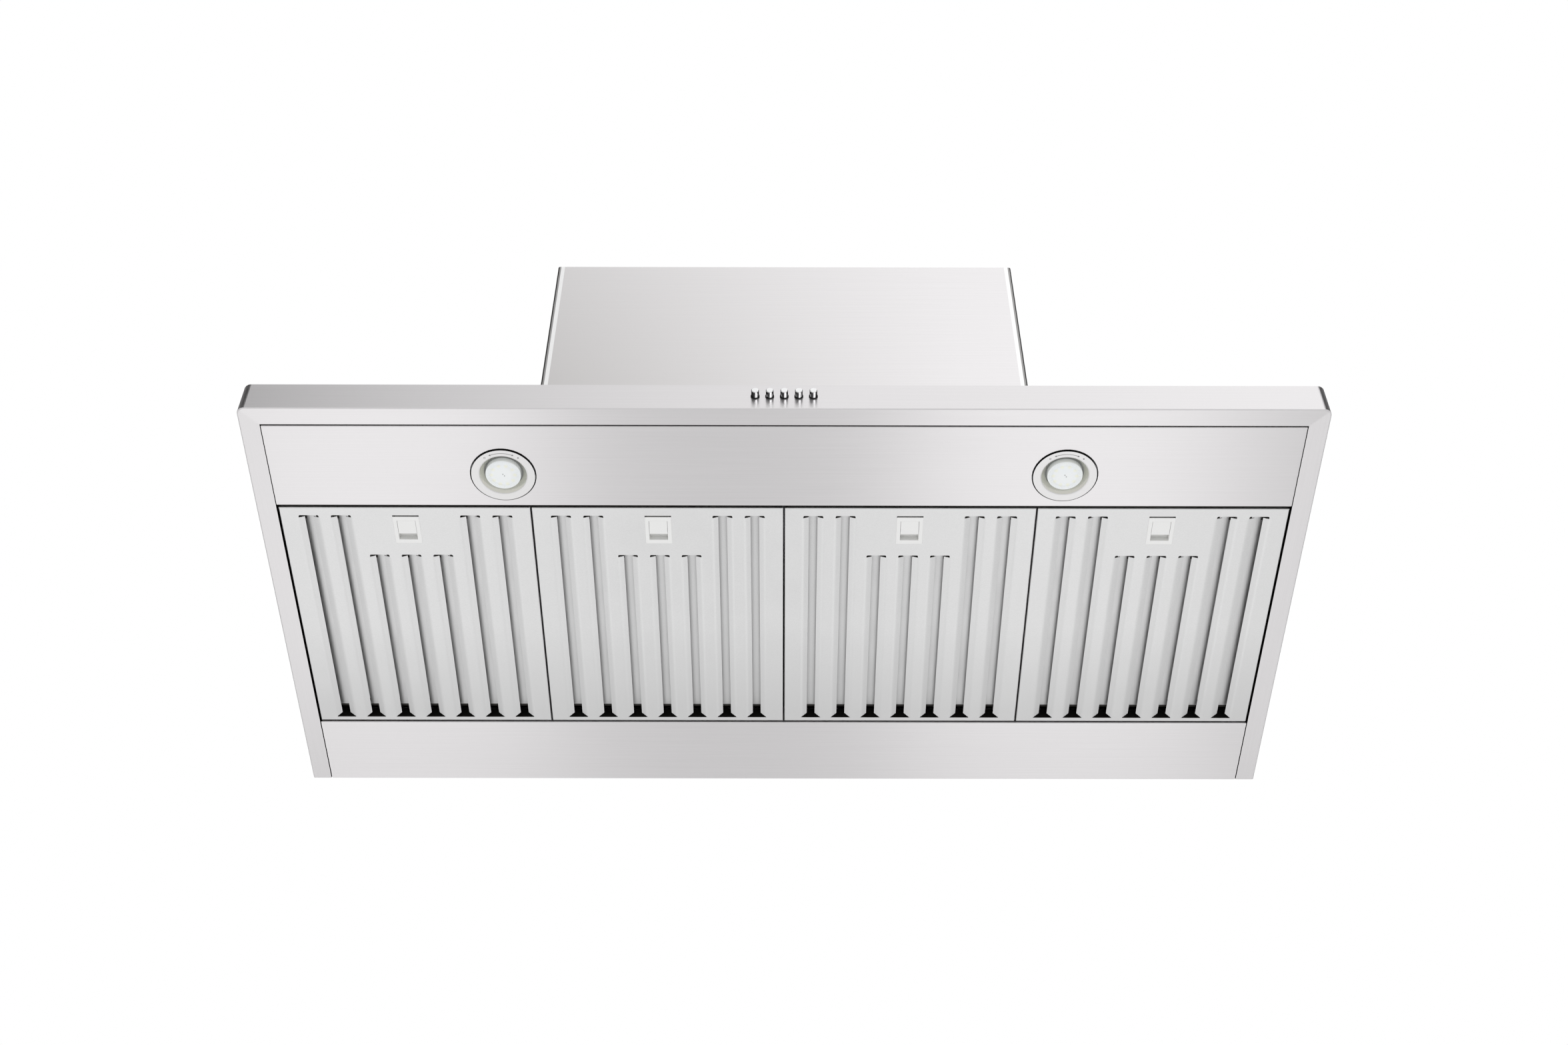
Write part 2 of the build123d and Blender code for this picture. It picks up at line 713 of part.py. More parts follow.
# Lamp cans on the light panel, lamp modules hanging in them and their front lenses
can_radius = sleeve_radius + sleeve_clearance + can_wall
can_floor_z = light_z + sheet
can_top_z = roof_under_z - can_roof_gap
lens_face_z = bezel_face_z + lens_recess
lens_top_z = cone_top_z + lens_seat
lamp_places = [(x, lamp_y) for x in lamp_xs]
with BuildPart() as lamp_cans:
    with BuildSketch(level(can_floor_z)):
        with Locations(*lamp_places):
            Circle(can_radius + can_flange_width)
    extrude(amount=can_wall)
    with BuildSketch(level(can_floor_z)):
        with Locations(*lamp_places):
            Circle(can_radius)
    extrude(amount=can_top_z - can_floor_z)
    with BuildSketch(level(can_floor_z)):
        with Locations(*lamp_places):
            Circle(can_radius - can_wall)
    extrude(amount=can_top_z - can_floor_z - can_wall, mode=Mode.SUBTRACT)
save(lamp_cans.part, "lamp_cans")

with BuildPart() as lamp_modules:
    with BuildSketch(level(lens_top_z)):
        with Locations(*lamp_places):
            Circle(lamp_radius)
    extrude(amount=can_top_z - can_wall - lens_top_z)
save(lamp_modules.part, "lamp_modules")

with BuildPart() as lamp_lenses:
    with BuildSketch(level(lens_face_z)):
        with Locations(*lamp_places):
            Circle(lens_radius)
    extrude(amount=lens_top_z - lens_face_z)
    fillet(lamp_lenses.edges().group_by(Axis.Z)[0], lens_edge)
save(lamp_lenses.part, "lamp_lenses")

# Push buttons with collars on the lip and one switch block behind it
button_places = [(x, button_z) for x in button_xs]
cap_rear_y = front_y + sheet
block_front_y = cap_rear_y + button_travel + stop_clearance
bore_depth = stem_engagement + button_travel + stop_clearance
block_depth = bore_depth + switch_block_wall
with BuildPart() as button:
    with BuildSketch(front_plane(front_y - button_protrusion)):
        Circle(button_radius)
    extrude(amount=-(button_protrusion + sheet))
    fillet(button.edges().sort_by(Axis.Y)[0], button_edge)
    with BuildSketch(front_plane(cap_rear_y)):
        Circle(stem_radius)
    extrude(amount=-(button_travel + stop_clearance + stem_engagement))
for number, x in enumerate(button_xs, 1):
    save(button.part.moved(Pos(x, 0, button_z)), f"push_button_{number}")

with BuildPart() as button_collars:
    with BuildSketch(front_plane(front_y)):
        with Locations(*button_places):
            Circle(button_collar_radius)
            Circle(button_radius + button_clearance, mode=Mode.SUBTRACT)
    extrude(amount=button_collar_thickness)
    rims = button_collars.edges().group_by(Axis.Y)[0].group_by(SortBy.LENGTH)[-1]
    fillet(rims, button_collar_edge)
save(button_collars.part, "button_collars")

block_width = (button_count - 1) * button_pitch + 2 * (stem_radius + switch_block_margin)
with BuildPart() as switch_block:
    with BuildSketch(front_plane(block_front_y)):
        with Locations((0, button_z)):
            Rectangle(block_width, switch_block_height)
        with Locations(*button_places):
            Circle(stem_radius + stem_clearance, mode=Mode.SUBTRACT)
    extrude(amount=-bore_depth)
    with BuildSketch(front_plane(block_front_y + bore_depth)):
        with Locations((0, button_z)):
            Rectangle(block_width, switch_block_height)
    extrude(amount=-switch_block_wall)
    with BuildSketch(front_plane(cap_rear_y)):
        for side in (-1, 1):
            with Locations((side * (block_width - switch_foot_width) / 2, button_z)):
                Rectangle(switch_foot_width, switch_block_height)
    extrude(amount=-(block_front_y - cap_rear_y))
save(switch_block.part, "switch_block")

# Housing wrap: one sheet round the front and both sides, with an outer foot flange and folded rear edges
wall_height = lid_z
back_screw_zs = span(2 * housing_fold, wall_height - 2 * housing_fold, 4)
back_screw_x = housing_half - sheet - housing_fold / 2
back_screw_places = [(side * back_screw_x, z) for side in (-1, 1) for z in back_screw_zs]
lid_screw_z = lid_z - lid_fold / 2
lid_screw_ys = span(housing_front_y + 2 * housing_fold, housing_back_y - 2 * housing_fold, 3)
with BuildPart() as housing_wrap:
    with BuildSketch(level(0)) as wrap_outline:
        with Locations((0, housing_mid_y)):
            Rectangle(housing_width, housing_depth)
        fillet(wrap_outline.vertices().group_by(Axis.Y)[0], housing_corner_radius)
    extrude(amount=wall_height)
    with BuildSketch(level(0)):
        with Locations((0, housing_mid_y - housing_flange / 2)):
            Rectangle(housing_width + 2 * housing_flange, housing_depth + housing_flange)
    extrude(amount=sheet)
    with BuildSketch(level(0)) as wrap_hollow:
        with Locations((0, housing_mid_y + sheet)):
            Rectangle(housing_width - 2 * sheet, housing_depth)
        fillet(wrap_hollow.vertices().group_by(Axis.Y)[0], housing_corner_radius - sheet)
    extrude(amount=wall_height, mode=Mode.SUBTRACT)
    with BuildSketch(level(0)):
        for side in (-1, 1):
            with Locations((side * back_screw_x, housing_back_y - 3 * sheet / 2)):
                Rectangle(housing_fold, sheet)
    extrude(amount=wall_height - lid_fold - lid_clearance)
    with BuildSketch(level(0)):
        with Locations(*flange_screw_places):
            Circle(screw_radius + screw_clearance)
    extrude(amount=sheet, mode=Mode.SUBTRACT)
    with BuildSketch(front_plane(housing_back_y)):
        with Locations(*back_screw_places):
            Circle(screw_radius + screw_clearance)
    extrude(amount=2 * sheet, mode=Mode.SUBTRACT)
    with BuildSketch(side_plane(-housing_half)):
        with Locations(*[(y, lid_screw_z) for y in lid_screw_ys]):
            Circle(screw_radius + screw_clearance)
    extrude(amount=housing_width, mode=Mode.SUBTRACT)
save(housing_wrap.part, "housing_wrap")

# Housing back: a screwed-on service panel between the side walls
with BuildPart() as housing_back:
    with BuildSketch(front_plane(housing_back_y)):
        with Locations((0, wall_height / 2)):
            Rectangle(housing_width - 2 * sheet, wall_height)
        with Locations(*back_screw_places):
            Circle(screw_radius + screw_clearance, mode=Mode.SUBTRACT)
    extrude(amount=sheet)
save(housing_back.part, "housing_back")

# Housing lid with a folded skirt inside the walls and the duct hole
collar_screw_count = 6
collar_screw_radius = collar_radius + collar_flange_width / 2
terminal_x = housing_half - terminal_box_inset_x
terminal_y = housing_back_y - terminal_box_inset_y
terminal_screw_places = [(terminal_x, terminal_y + side * terminal_box_depth / 3) for side in (-1, 1)]
loom_drop_x = terminal_x - terminal_hole_offset
knockout_x = terminal_x + terminal_hole_offset
tab_offset = terminal_box_width / 2 - terminal_box_sheet - terminal_tab / 2
skirt_width = housing_width - 2 * sheet - 2 * lid_clearance
skirt_depth = housing_depth - 2 * sheet - 2 * lid_clearance
with BuildPart() as housing_lid:
    with BuildSketch(level(lid_z)) as lid_outline:
        with Locations((0, housing_mid_y)):
            Rectangle(housing_width, housing_depth)
        fillet(lid_outline.vertices().group_by(Axis.Y)[0], housing_corner_radius)
        with Locations((0, housing_mid_y)):
            Circle(collar_radius - collar_wall - flap_stop_width, mode=Mode.SUBTRACT)
            with PolarLocations(collar_screw_radius, collar_screw_count):
                Circle(screw_radius + screw_clearance, mode=Mode.SUBTRACT)
        with Locations(*terminal_screw_places):
            Circle(screw_radius + screw_clearance, mode=Mode.SUBTRACT)
        with Locations((loom_drop_x, terminal_y)):
            Circle(loom_radius + loom_clearance, mode=Mode.SUBTRACT)
    extrude(amount=sheet)
    with BuildSketch(level(lid_z - lid_fold)) as lid_skirt:
        with Locations((0, housing_mid_y)):
            Rectangle(skirt_width, skirt_depth)
        fillet(lid_skirt.vertices().group_by(Axis.Y)[0], housing_corner_radius - sheet)
        with Locations((0, housing_mid_y)):
            Rectangle(skirt_width - 2 * sheet, skirt_depth - 2 * sheet, mode=Mode.SUBTRACT)
    extrude(amount=lid_fold)
    with BuildSketch(side_plane(-housing_half)):
        with Locations(*[(y, lid_screw_z) for y in lid_screw_ys]):
            Circle(screw_radius + screw_clearance)
    extrude(amount=housing_width, mode=Mode.SUBTRACT)
save(housing_lid.part, "housing_lid")

# Duct collar: a screwed-on flange and round spigot with a ledge that the flaps close on
collar_z = lid_z + sheet
flap_z = collar_z + flap_axis_height
collar_bore = collar_radius - collar_wall
stop_top_z = flap_z - flap_sheet / 2 - flap_stop_gap
with BuildPart() as duct_collar:
    with BuildSketch(level(collar_z)):
        with Locations((0, housing_mid_y)):
            Circle(collar_radius + collar_flange_width)
            with PolarLocations(collar_screw_radius, collar_screw_count):
                Circle(screw_radius + screw_clearance, mode=Mode.SUBTRACT)
    extrude(amount=sheet)
    with BuildSketch(level(collar_z)):
        with Locations((0, housing_mid_y)):
            Circle(collar_radius)
    extrude(amount=collar_height)
    with BuildSketch(level(collar_z)):
        with Locations((0, housing_mid_y)):
            Circle(collar_bore)
    extrude(amount=collar_height, mode=Mode.SUBTRACT)
    with BuildSketch(level(stop_top_z - collar_wall)):
        with Locations((0, housing_mid_y)):
            Circle(collar_radius - collar_wall / 2)
            Circle(collar_bore - flap_stop_width, mode=Mode.SUBTRACT)
    extrude(amount=collar_wall)
    with BuildSketch(side_plane(-collar_radius)):
        with Locations((housing_mid_y, flap_z)):
            Circle(rod_radius + rod_clearance / 2)
    extrude(amount=2 * collar_radius, mode=Mode.SUBTRACT)
save(duct_collar.part, "duct_collar")

with BuildPart() as damper_rod:
    with BuildSketch(side_plane(-collar_bore - collar_wall / 2)):
        with Locations((housing_mid_y, flap_z)):
            Circle(rod_radius)
    extrude(amount=2 * collar_bore + collar_wall)
save(damper_rod.part, "damper_rod")


def flap(side, knuckle_start):
    """One half-round backdraft flap on the side of the rod given by side, with two knuckles."""
    flap_radius = collar_bore - flap_clearance
    with BuildPart() as leaf:
        with BuildSketch(level(flap_z - flap_sheet / 2)):
            with Locations((0, housing_mid_y)):
                Circle(flap_radius)
            with Locations((0, housing_mid_y + side * (flap_root - flap_radius))):
                Rectangle(2 * flap_radius, 2 * flap_radius, mode=Mode.SUBTRACT)
            for end in (-1, 1):
                strap_x = end * (knuckle_start + knuckle_length / 2)
                with Locations((strap_x, housing_mid_y + side * flap_root / 2 + side * rod_radius)):
                    Rectangle(knuckle_length, flap_root)
        extrude(amount=flap_sheet)
        for end in (-1, 1):
            with BuildSketch(side_plane(end * knuckle_start)):
                with Locations((housing_mid_y, flap_z)):
                    Circle(knuckle_radius)
            extrude(amount=end * knuckle_length)
        with BuildSketch(side_plane(-collar_bore)):
            with Locations((housing_mid_y, flap_z)):
                Circle(rod_radius + rod_clearance)
        extrude(amount=2 * collar_bore, mode=Mode.SUBTRACT)
    return leaf.part


save(flap(-1, knuckle_gap), "damper_flap_front")
save(flap(1, knuckle_gap + knuckle_length + knuckle_gap), "damper_flap_rear")

# Blower scroll: a spiral of three quarter turns that opens upwards under the collar
cutoff_radius = wheel_radius + scroll_clearance
second_radius = cutoff_radius + scroll_growth
third_radius = second_radius + scroll_growth
outlet_depth = third_radius + scroll_growth
axis_y = housing_mid_y - outlet_depth / 2
axis_z = second_radius + scroll_floor_gap
outlet_z = axis_z + outlet_height
scroll_half = wheel_width / 2 + scroll_side_clearance


def scroll_face(inset, rise):
    """Spiral outline, drawn inside by inset and raised at the outlet by rise."""
    with BuildSketch(side_plane(0)) as spiral:
        with BuildLine():
            first = cutoff_radius - inset
            second = second_radius - inset
            third = third_radius - inset
            front = axis_y + inset
            rear = axis_y + scroll_growth + third
            start = math.degrees(math.acos(inset / first))
            tongue = axis_z + math.sqrt(first**2 - inset**2)
            Line((front, outlet_z + rise), (front, tongue))
            CenterArc((axis_y, axis_z), first, start, 180 - start)
            CenterArc((axis_y + scroll_growth, axis_z), second, 180, 90)
            CenterArc((axis_y + scroll_growth, axis_z + scroll_growth), third, 270, 90)
            Line((rear, axis_z + scroll_growth), (rear, outlet_z + rise))
            Line((rear, outlet_z + rise), (front, outlet_z + rise))
        make_face()
    return spiral.sketch


outer_spiral = scroll_face(0, 0)
inner_spiral = scroll_face(scroll_sheet, scroll_sheet)
with BuildPart() as scroll_wrapper:
    extrude(outer_spiral, amount=scroll_half, both=True)
    extrude(inner_spiral, amount=scroll_half, both=True, mode=Mode.SUBTRACT)
save(scroll_wrapper.part, "scroll_wrapper")

# Scroll cheeks with turned-in inlet lips
with BuildPart() as scroll_cheeks:
    for side in (-1, 1):
        extrude(outer_spiral.moved(Pos(side * scroll_half, 0, 0)), amount=side * scroll_sheet)
        with BuildSketch(side_plane(side * (scroll_half - inlet_lip))):
            with Locations((axis_y, axis_z)):
                Circle(inlet_radius + scroll_sheet)
        extrude(amount=side * inlet_lip)
        with BuildSketch(side_plane(side * (scroll_half - inlet_lip))):
            with Locations((axis_y, axis_z)):
                Circle(inlet_radius)
        extrude(amount=side * (inlet_lip + scroll_sheet), mode=Mode.SUBTRACT)
save(scroll_cheeks.part, "scroll_cheeks")

# Outlet transition from the scroll's square mouth to the round duct hole
duct_hole_radius = collar_bore - flap_stop_width
outlet_mid_y = axis_y + outlet_depth / 2
with BuildPart() as outlet_transition:
    for inset, mode in ((0, Mode.ADD), (scroll_sheet, Mode.SUBTRACT)):
        with BuildSketch(level(outlet_z)):
            with Locations((0, outlet_mid_y)):
                RectangleRounded(
                    2 * (scroll_half - inset), outlet_depth - 2 * inset, outlet_corner_radius - inset
                )
        with BuildSketch(level(lid_z)):
            with Locations((0, housing_mid_y)):
                Circle(duct_hole_radius + scroll_sheet - inset)
        loft(mode=mode)
save(outlet_transition.part, "outlet_transition")

# Blower wheel: a ring of leaning blades on both sides of a web, with a hub for the shaft
with BuildPart() as blower_wheel:
    with BuildSketch(side_plane(0)):
        blade_length = blade_depth / math.cos(math.radians(blade_lean))
        with Locations((axis_y, axis_z)):
            with PolarLocations(wheel_radius - blade_depth / 2, blade_count):
                Rectangle(blade_length, blade_sheet, rotation=blade_lean)
    extrude(amount=wheel_width / 2, both=True)
    with BuildSketch(side_plane(0)):
        with Locations((axis_y, axis_z)):
            Circle(wheel_radius)
    extrude(amount=wheel_web / 2, both=True)
    for side in (-1, 1):
        with BuildSketch(side_plane(side * wheel_width / 2)):
            with Locations((axis_y, axis_z)):
                Circle(wheel_radius)
                Circle(wheel_radius - blade_depth, mode=Mode.SUBTRACT)
        extrude(amount=-side * wheel_web)
    with BuildSketch(side_plane(0)):
        with Locations((axis_y, axis_z)):
            Circle(hub_radius)
    extrude(amount=hub_length / 2, both=True)
    with BuildSketch(side_plane(0)):
        with Locations((axis_y, axis_z)):
            Circle(shaft_radius + shaft_clearance)
    extrude(amount=hub_length, both=True, mode=Mode.SUBTRACT)
save(blower_wheel.part, "blower_wheel")

# Motor beside the right inlet, its shaft and the three-armed bracket that holds it
motor_x = scroll_half + scroll_sheet + motor_gap
shaft_end_x = motor_x + motor_length - motor_boss_length
shaft_start_x = -hub_length / 2 - motor_boss_length
with BuildPart() as motor_shaft:
    with BuildSketch(side_plane(shaft_start_x)):
        with Locations((axis_y, axis_z)):
            Circle(shaft_radius)
    extrude(amount=shaft_end_x - shaft_start_x)
save(motor_shaft.part, "motor_shaft")

with BuildPart() as motor:
    with BuildSketch(side_plane(motor_x)):
        with Locations((axis_y, axis_z)):
            Circle(motor_radius)
    extrude(amount=motor_length)
    chamfer(motor.edges().filter_by(GeomType.CIRCLE), motor_boss_length)
    with BuildSketch(side_plane(motor_x)):
        with Locations((axis_y, axis_z)):
            Circle(motor_boss_radius)
    extrude(amount=-motor_boss_length)
    with BuildSketch(side_plane(motor_x - motor_boss_length)):
        with Locations((axis_y, axis_z)):
            Circle(shaft_radius + shaft_clearance)
    extrude(amount=shaft_end_x - motor_x + 2 * motor_boss_length, mode=Mode.SUBTRACT)
save(motor.part, "motor")

arm_radius = inlet_radius + bracket_arm_width
cheek_face_x = scroll_half + scroll_sheet
with BuildPart() as motor_bracket:
    with BuildSketch(side_plane(motor_x)):
        with Locations((axis_y, axis_z)):
            Circle(motor_radius - motor_boss_length)
            with PolarLocations(arm_radius / 2, bracket_arm_count, start_angle=90):
                Rectangle(arm_radius + bracket_arm_width, bracket_arm_width)
            Circle(motor_boss_radius + bracket_boss_gap, mode=Mode.SUBTRACT)
    extrude(amount=-bracket_sheet)
    with BuildSketch(side_plane(motor_x - bracket_sheet)):
        with Locations((axis_y, axis_z)):
            with PolarLocations(arm_radius, bracket_arm_count, start_angle=90):
                Rectangle(bracket_arm_width, bracket_arm_width)
    extrude(amount=cheek_face_x - motor_x + bracket_sheet)
save(motor_bracket.part, "motor_bracket")

# Angle rails that carry the blower over the intake opening
rail_start_y = housing_front_y + sheet + rail_end_gap
rail_end_y = housing_back_y - 2 * sheet - rail_end_gap
with BuildPart() as blower_rails:
    for side in (-1, 1):
        with BuildSketch(front_plane(rail_end_y)):
            with Locations((side * (cheek_face_x + rail_sheet / 2), rail_leg / 2)):
                Rectangle(rail_sheet, rail_leg)
            with Locations((side * (cheek_face_x + rail_leg / 2), rail_sheet / 2)):
                Rectangle(rail_leg, rail_sheet)
        extrude(amount=rail_end_y - rail_start_y)
save(blower_rails.part, "blower_rails")

# Run capacitor and its strap on the inside of the back panel
back_inner_y = housing_back_y - sheet
capacitor_x = capacitor_inset - housing_half
capacitor_y = back_inner_y - strap_sheet - capacitor_radius
with BuildPart() as capacitor:
    with BuildSketch(level(capacitor_height)):
        with Locations((capacitor_x, capacitor_y)):
            Circle(capacitor_radius)
    extrude(amount=capacitor_length)
    fillet(capacitor.edges().filter_by(GeomType.CIRCLE), strap_sheet)
save(capacitor.part, "capacitor")

with BuildPart() as capacitor_strap:
    with BuildSketch(level(capacitor_height + (capacitor_length - strap_width) / 2)):
        with Locations((capacitor_x, capacitor_y)):
            Circle(capacitor_radius + strap_sheet)
        with Locations((capacitor_x, back_inner_y - strap_sheet / 2)):
            Rectangle(2 * (capacitor_radius + strap_tab), strap_sheet)
        with Locations((capacitor_x, capacitor_y)):
            Circle(capacitor_radius, mode=Mode.SUBTRACT)
    extrude(amount=strap_width)
save(capacitor_strap.part, "capacitor_strap")

# Electrical box on the lid and its cover with the cable knock-out
box_top_z = collar_z + terminal_box_height
tab_places = [(terminal_x + side * tab_offset, terminal_y) for side in (-1, 1)]
with BuildPart() as terminal_box:
    with BuildSketch(level(collar_z)):
        with Locations((terminal_x, terminal_y)):
            Rectangle(terminal_box_width, terminal_box_depth)
    extrude(amount=terminal_box_height)
    with BuildSketch(level(collar_z + terminal_box_sheet)):
        with Locations((terminal_x, terminal_y)):
            Rectangle(
                terminal_box_width - 2 * terminal_box_sheet, terminal_box_depth - 2 * terminal_box_sheet
            )
    extrude(amount=terminal_box_height, mode=Mode.SUBTRACT)
    with BuildSketch(level(box_top_z)):
        with Locations(*tab_places):
            Rectangle(terminal_tab, terminal_tab)
    extrude(amount=-terminal_box_sheet)
    with BuildSketch(level(collar_z)):
        with Locations(*terminal_screw_places, *tab_places):
            Circle(screw_radius + screw_clearance)
        with Locations((loom_drop_x, terminal_y)):
            Circle(loom_radius + loom_clearance)
    extrude(amount=terminal_box_height, mode=Mode.SUBTRACT)
save(terminal_box.part, "terminal_box")

with BuildPart() as terminal_cover:
    with BuildSketch(level(box_top_z)):
        with Locations((terminal_x, terminal_y)):
            Rectangle(terminal_box_width, terminal_box_depth)
        with Locations((knockout_x, terminal_y)):
            Circle(knockout_radius, mode=Mode.SUBTRACT)
        with Locations(*tab_places):
            Circle(screw_radius + screw_clearance, mode=Mode.SUBTRACT)
    extrude(amount=terminal_box_sheet)
save(terminal_cover.part, "terminal_cover")

# Wiring loom: switches to motor, lamp to lamp, and electrical box to motor
loom_x = motor_x + motor_length - loom_inset
riser_y = housing_front_y + roof_ledge + loom_inset
lamp_feed_z = button_z + loom_step
lamp_feed_y = lamp_y + can_radius + loom_radius + loom_rest_gap
motor_feed_z = axis_z - motor_radius - 3 * loom_bend
motor_mid_x = motor_x + motor_length / 2
drop_z = (lid_z + axis_z + motor_radius) / 2
block_rear_y = block_front_y + block_depth
loom_paths = [
    [
        (loom_start_x, block_rear_y, button_z),
        (loom_start_x, riser_y, button_z),
        (loom_x, riser_y, button_z),
        (loom_x, riser_y, motor_feed_z),
        (loom_x, axis_y, motor_feed_z),
        (loom_x, axis_y, axis_z - motor_radius),
    ],
    [
        (loom_drop_x, terminal_y, collar_z + 2 * loom_inset),
        (loom_drop_x, terminal_y, drop_z),
        (motor_mid_x, axis_y, drop_z),
        (motor_mid_x, axis_y, axis_z + motor_radius),
    ],
]
with BuildPart() as wiring_loom:
    for path in loom_paths:
        with BuildLine() as run:
            FilletPolyline(*path, radius=loom_bend)
        with BuildSketch(run.line ^ 0):
            Circle(loom_radius)
        sweep(path=run.line)
    with BuildSketch(side_plane(lamp_xs[0])):
        with Locations((lamp_feed_y, lamp_feed_z)):
            Circle(loom_radius)
    extrude(amount=lamp_spacing)
save(wiring_loom.part, "wiring_loom")

# Pan-head screws: housing foot, lid skirt, back panel, collar flange and electrical box
collar_screw_places = [
    (collar_screw_radius * math.cos(2 * math.pi * i / collar_screw_count),
     housing_mid_y + collar_screw_radius * math.sin(2 * math.pi * i / collar_screw_count))
    for i in range(collar_screw_count)
]
screw_planes = (
    [Plane((x, y, sheet)) for x, y in flange_screw_places]
    + [Plane((x, y, collar_z + sheet)) for x, y in collar_screw_places]
    + [Plane((x, y, collar_z + terminal_box_sheet)) for x, y in terminal_screw_places]
    + [Plane((x, y, box_top_z + terminal_box_sheet)) for x, y in tab_places]
    + [Plane((x, housing_back_y, z), z_dir=(0, 1, 0)) for x, z in back_screw_places]
    + [Plane((s * housing_half, y, lid_screw_z), z_dir=(s, 0, 0)) for s in (-1, 1) for y in lid_screw_ys]
)
with BuildPart() as housing_screws:
    with BuildSketch(*screw_planes):
        Circle(screw_head_radius)
    extrude(amount=screw_head_height, taper=screw_taper)
    with BuildSketch(*screw_planes):
        Circle(screw_radius)
    extrude(amount=-screw_length)
save(housing_screws.part, "housing_screws")
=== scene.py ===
# %% [markdown]
# # An outdoor range hood in brushed stainless steel
# The hood is a shallow steel tray with lamps, baffle filters and push buttons, and a blower box on top.
# Its shapes come from the engineering model, which is loaded here as a fixed frame.
# This lesson adds what the eye needs: the finishes, the small moulded details, the studio and the camera.

# %% Load the frame
import bmesh
import bpy
import math
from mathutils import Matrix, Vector


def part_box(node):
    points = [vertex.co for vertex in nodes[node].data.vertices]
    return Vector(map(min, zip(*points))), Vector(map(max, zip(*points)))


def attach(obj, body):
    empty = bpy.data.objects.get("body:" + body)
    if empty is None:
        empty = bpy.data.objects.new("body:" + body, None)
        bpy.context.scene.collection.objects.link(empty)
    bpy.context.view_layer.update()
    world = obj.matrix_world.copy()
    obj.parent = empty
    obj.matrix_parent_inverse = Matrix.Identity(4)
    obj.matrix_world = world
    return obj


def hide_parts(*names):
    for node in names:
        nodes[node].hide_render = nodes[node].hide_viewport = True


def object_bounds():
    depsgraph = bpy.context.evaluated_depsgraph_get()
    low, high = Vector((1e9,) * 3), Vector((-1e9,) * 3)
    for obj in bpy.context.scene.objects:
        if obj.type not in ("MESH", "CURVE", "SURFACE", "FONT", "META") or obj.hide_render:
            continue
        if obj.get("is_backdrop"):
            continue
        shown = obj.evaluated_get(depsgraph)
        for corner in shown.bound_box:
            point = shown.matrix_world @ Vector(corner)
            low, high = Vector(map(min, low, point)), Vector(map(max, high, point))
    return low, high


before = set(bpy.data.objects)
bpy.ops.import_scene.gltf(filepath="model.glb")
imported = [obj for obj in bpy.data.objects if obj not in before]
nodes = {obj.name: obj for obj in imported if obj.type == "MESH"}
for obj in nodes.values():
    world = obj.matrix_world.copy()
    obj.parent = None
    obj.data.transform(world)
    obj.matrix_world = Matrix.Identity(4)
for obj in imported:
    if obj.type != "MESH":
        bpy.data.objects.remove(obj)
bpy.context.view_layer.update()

# %% [markdown]
# ## The camera
# The picture was taken from below and in front, with the lens tilted up towards the filters.
# A camera placed by its measured position repeats that view exactly.
# Guessing with the mouse would come close, but the lines of the rim would never quite agree.

# %% Camera
bpy.ops.object.select_all(action="DESELECT")
camera_place = (0.0, -1.6209, -1.802)
camera_turn = (139.72, -0.065, -0.076)
bpy.ops.object.camera_add(location=camera_place, rotation=[math.radians(angle) for angle in camera_turn])
camera = bpy.context.object
camera.name = "photo_camera"
camera.data.lens = 47.58
camera.data.sensor_width = 36.0
camera.data.clip_end = 100.0
bpy.context.scene.camera = camera
print("camera at", [round(v, 3) for v in camera.location])

# %% [markdown]
# ## Colours and nodes
# Paint charts and photo editors give colours as hex values in sRGB, but a shader works in linear light.
# One function changes the first into the second.
# A second small function adds a shader node, fills in its settings and connects its inputs,
# so that every finish below can be read from top to bottom like a recipe.
# It is told the end of a node's type: Mix stands for ShaderNodeMix, TexNoise for ShaderNodeTexNoise.
# A Mix node has its two numbers at inputs 2 and 3 and gives output 0,
# or its two colours at inputs 6 and 7 and gives output 2.
# Most values of a noise lie between 0.3 and 0.7, so that stretch is spread over the full range.

# %% Colour and node helpers
noise_low, noise_high = 0.3, 0.7


def paint(code):
    """Linear colour from an sRGB hex value."""
    steps = [int(code[i:i + 2], 16) / 255 for i in (1, 3, 5)]
    return tuple(s / 12.92 if s <= 0.04045 else ((s + 0.055) / 1.055) ** 2.4 for s in steps) + (1.0,)


def add(tree, kind, inputs=None, **settings):
    """One new shader node with its settings, and its inputs set to a value or linked to another's output."""
    made = tree.nodes.new("ShaderNode" + kind)
    for name, value in settings.items():
        setattr(made, name, value)
    for socket, source in (inputs or {}).items():
        if isinstance(source, bpy.types.NodeSocket):
            tree.links.new(source, made.inputs[socket])
        else:
            made.inputs[socket].default_value = source
    return made


def finish(name):
    """A new material, its tree and its shader."""
    material = bpy.data.materials.new(name)
    material.use_nodes = True
    return material, material.node_tree, material.node_tree.nodes["Principled BSDF"]


def dress(material, *names):
    """Gives these pieces of the frame one material."""
    for name in names:
        nodes[name].data.materials.clear()
        nodes[name].data.materials.append(material)
    print(material.name, "on", len(names), "pieces")


# %% [markdown]
# ## Brushed stainless steel
# The canopy and the blower box are folded from 304 sheet that was brushed with an abrasive belt.
# The belt leaves fine parallel scratches, so reflections stay crisp along the grain and smear across it.
# In Blender that is a metal with anisotropy, and a noise that is stretched a hundred times along the grain.
# Real scratches are about 0.05 mm wide, too fine for this picture, so they are drawn 1 to 3 mm wide.
# Only the outside was brushed. The inner faces are painted dark and made rougher, a painted shade
# that makes the gaps and the inside look dark. They are found by asking whether a face looks
# towards the middle of the hood or away from it.
# On the box only the sideways directions count, because its foot lies flat on the roof outside the walls.
# Along the box's two front edges bands are painted: a bright painted highlight, then two grey strips of
# painted shade.
# Towards the lower left the box is painted a little darker, a painted shade.

# %% Inner side of a sheet
facing_limit = -0.0004


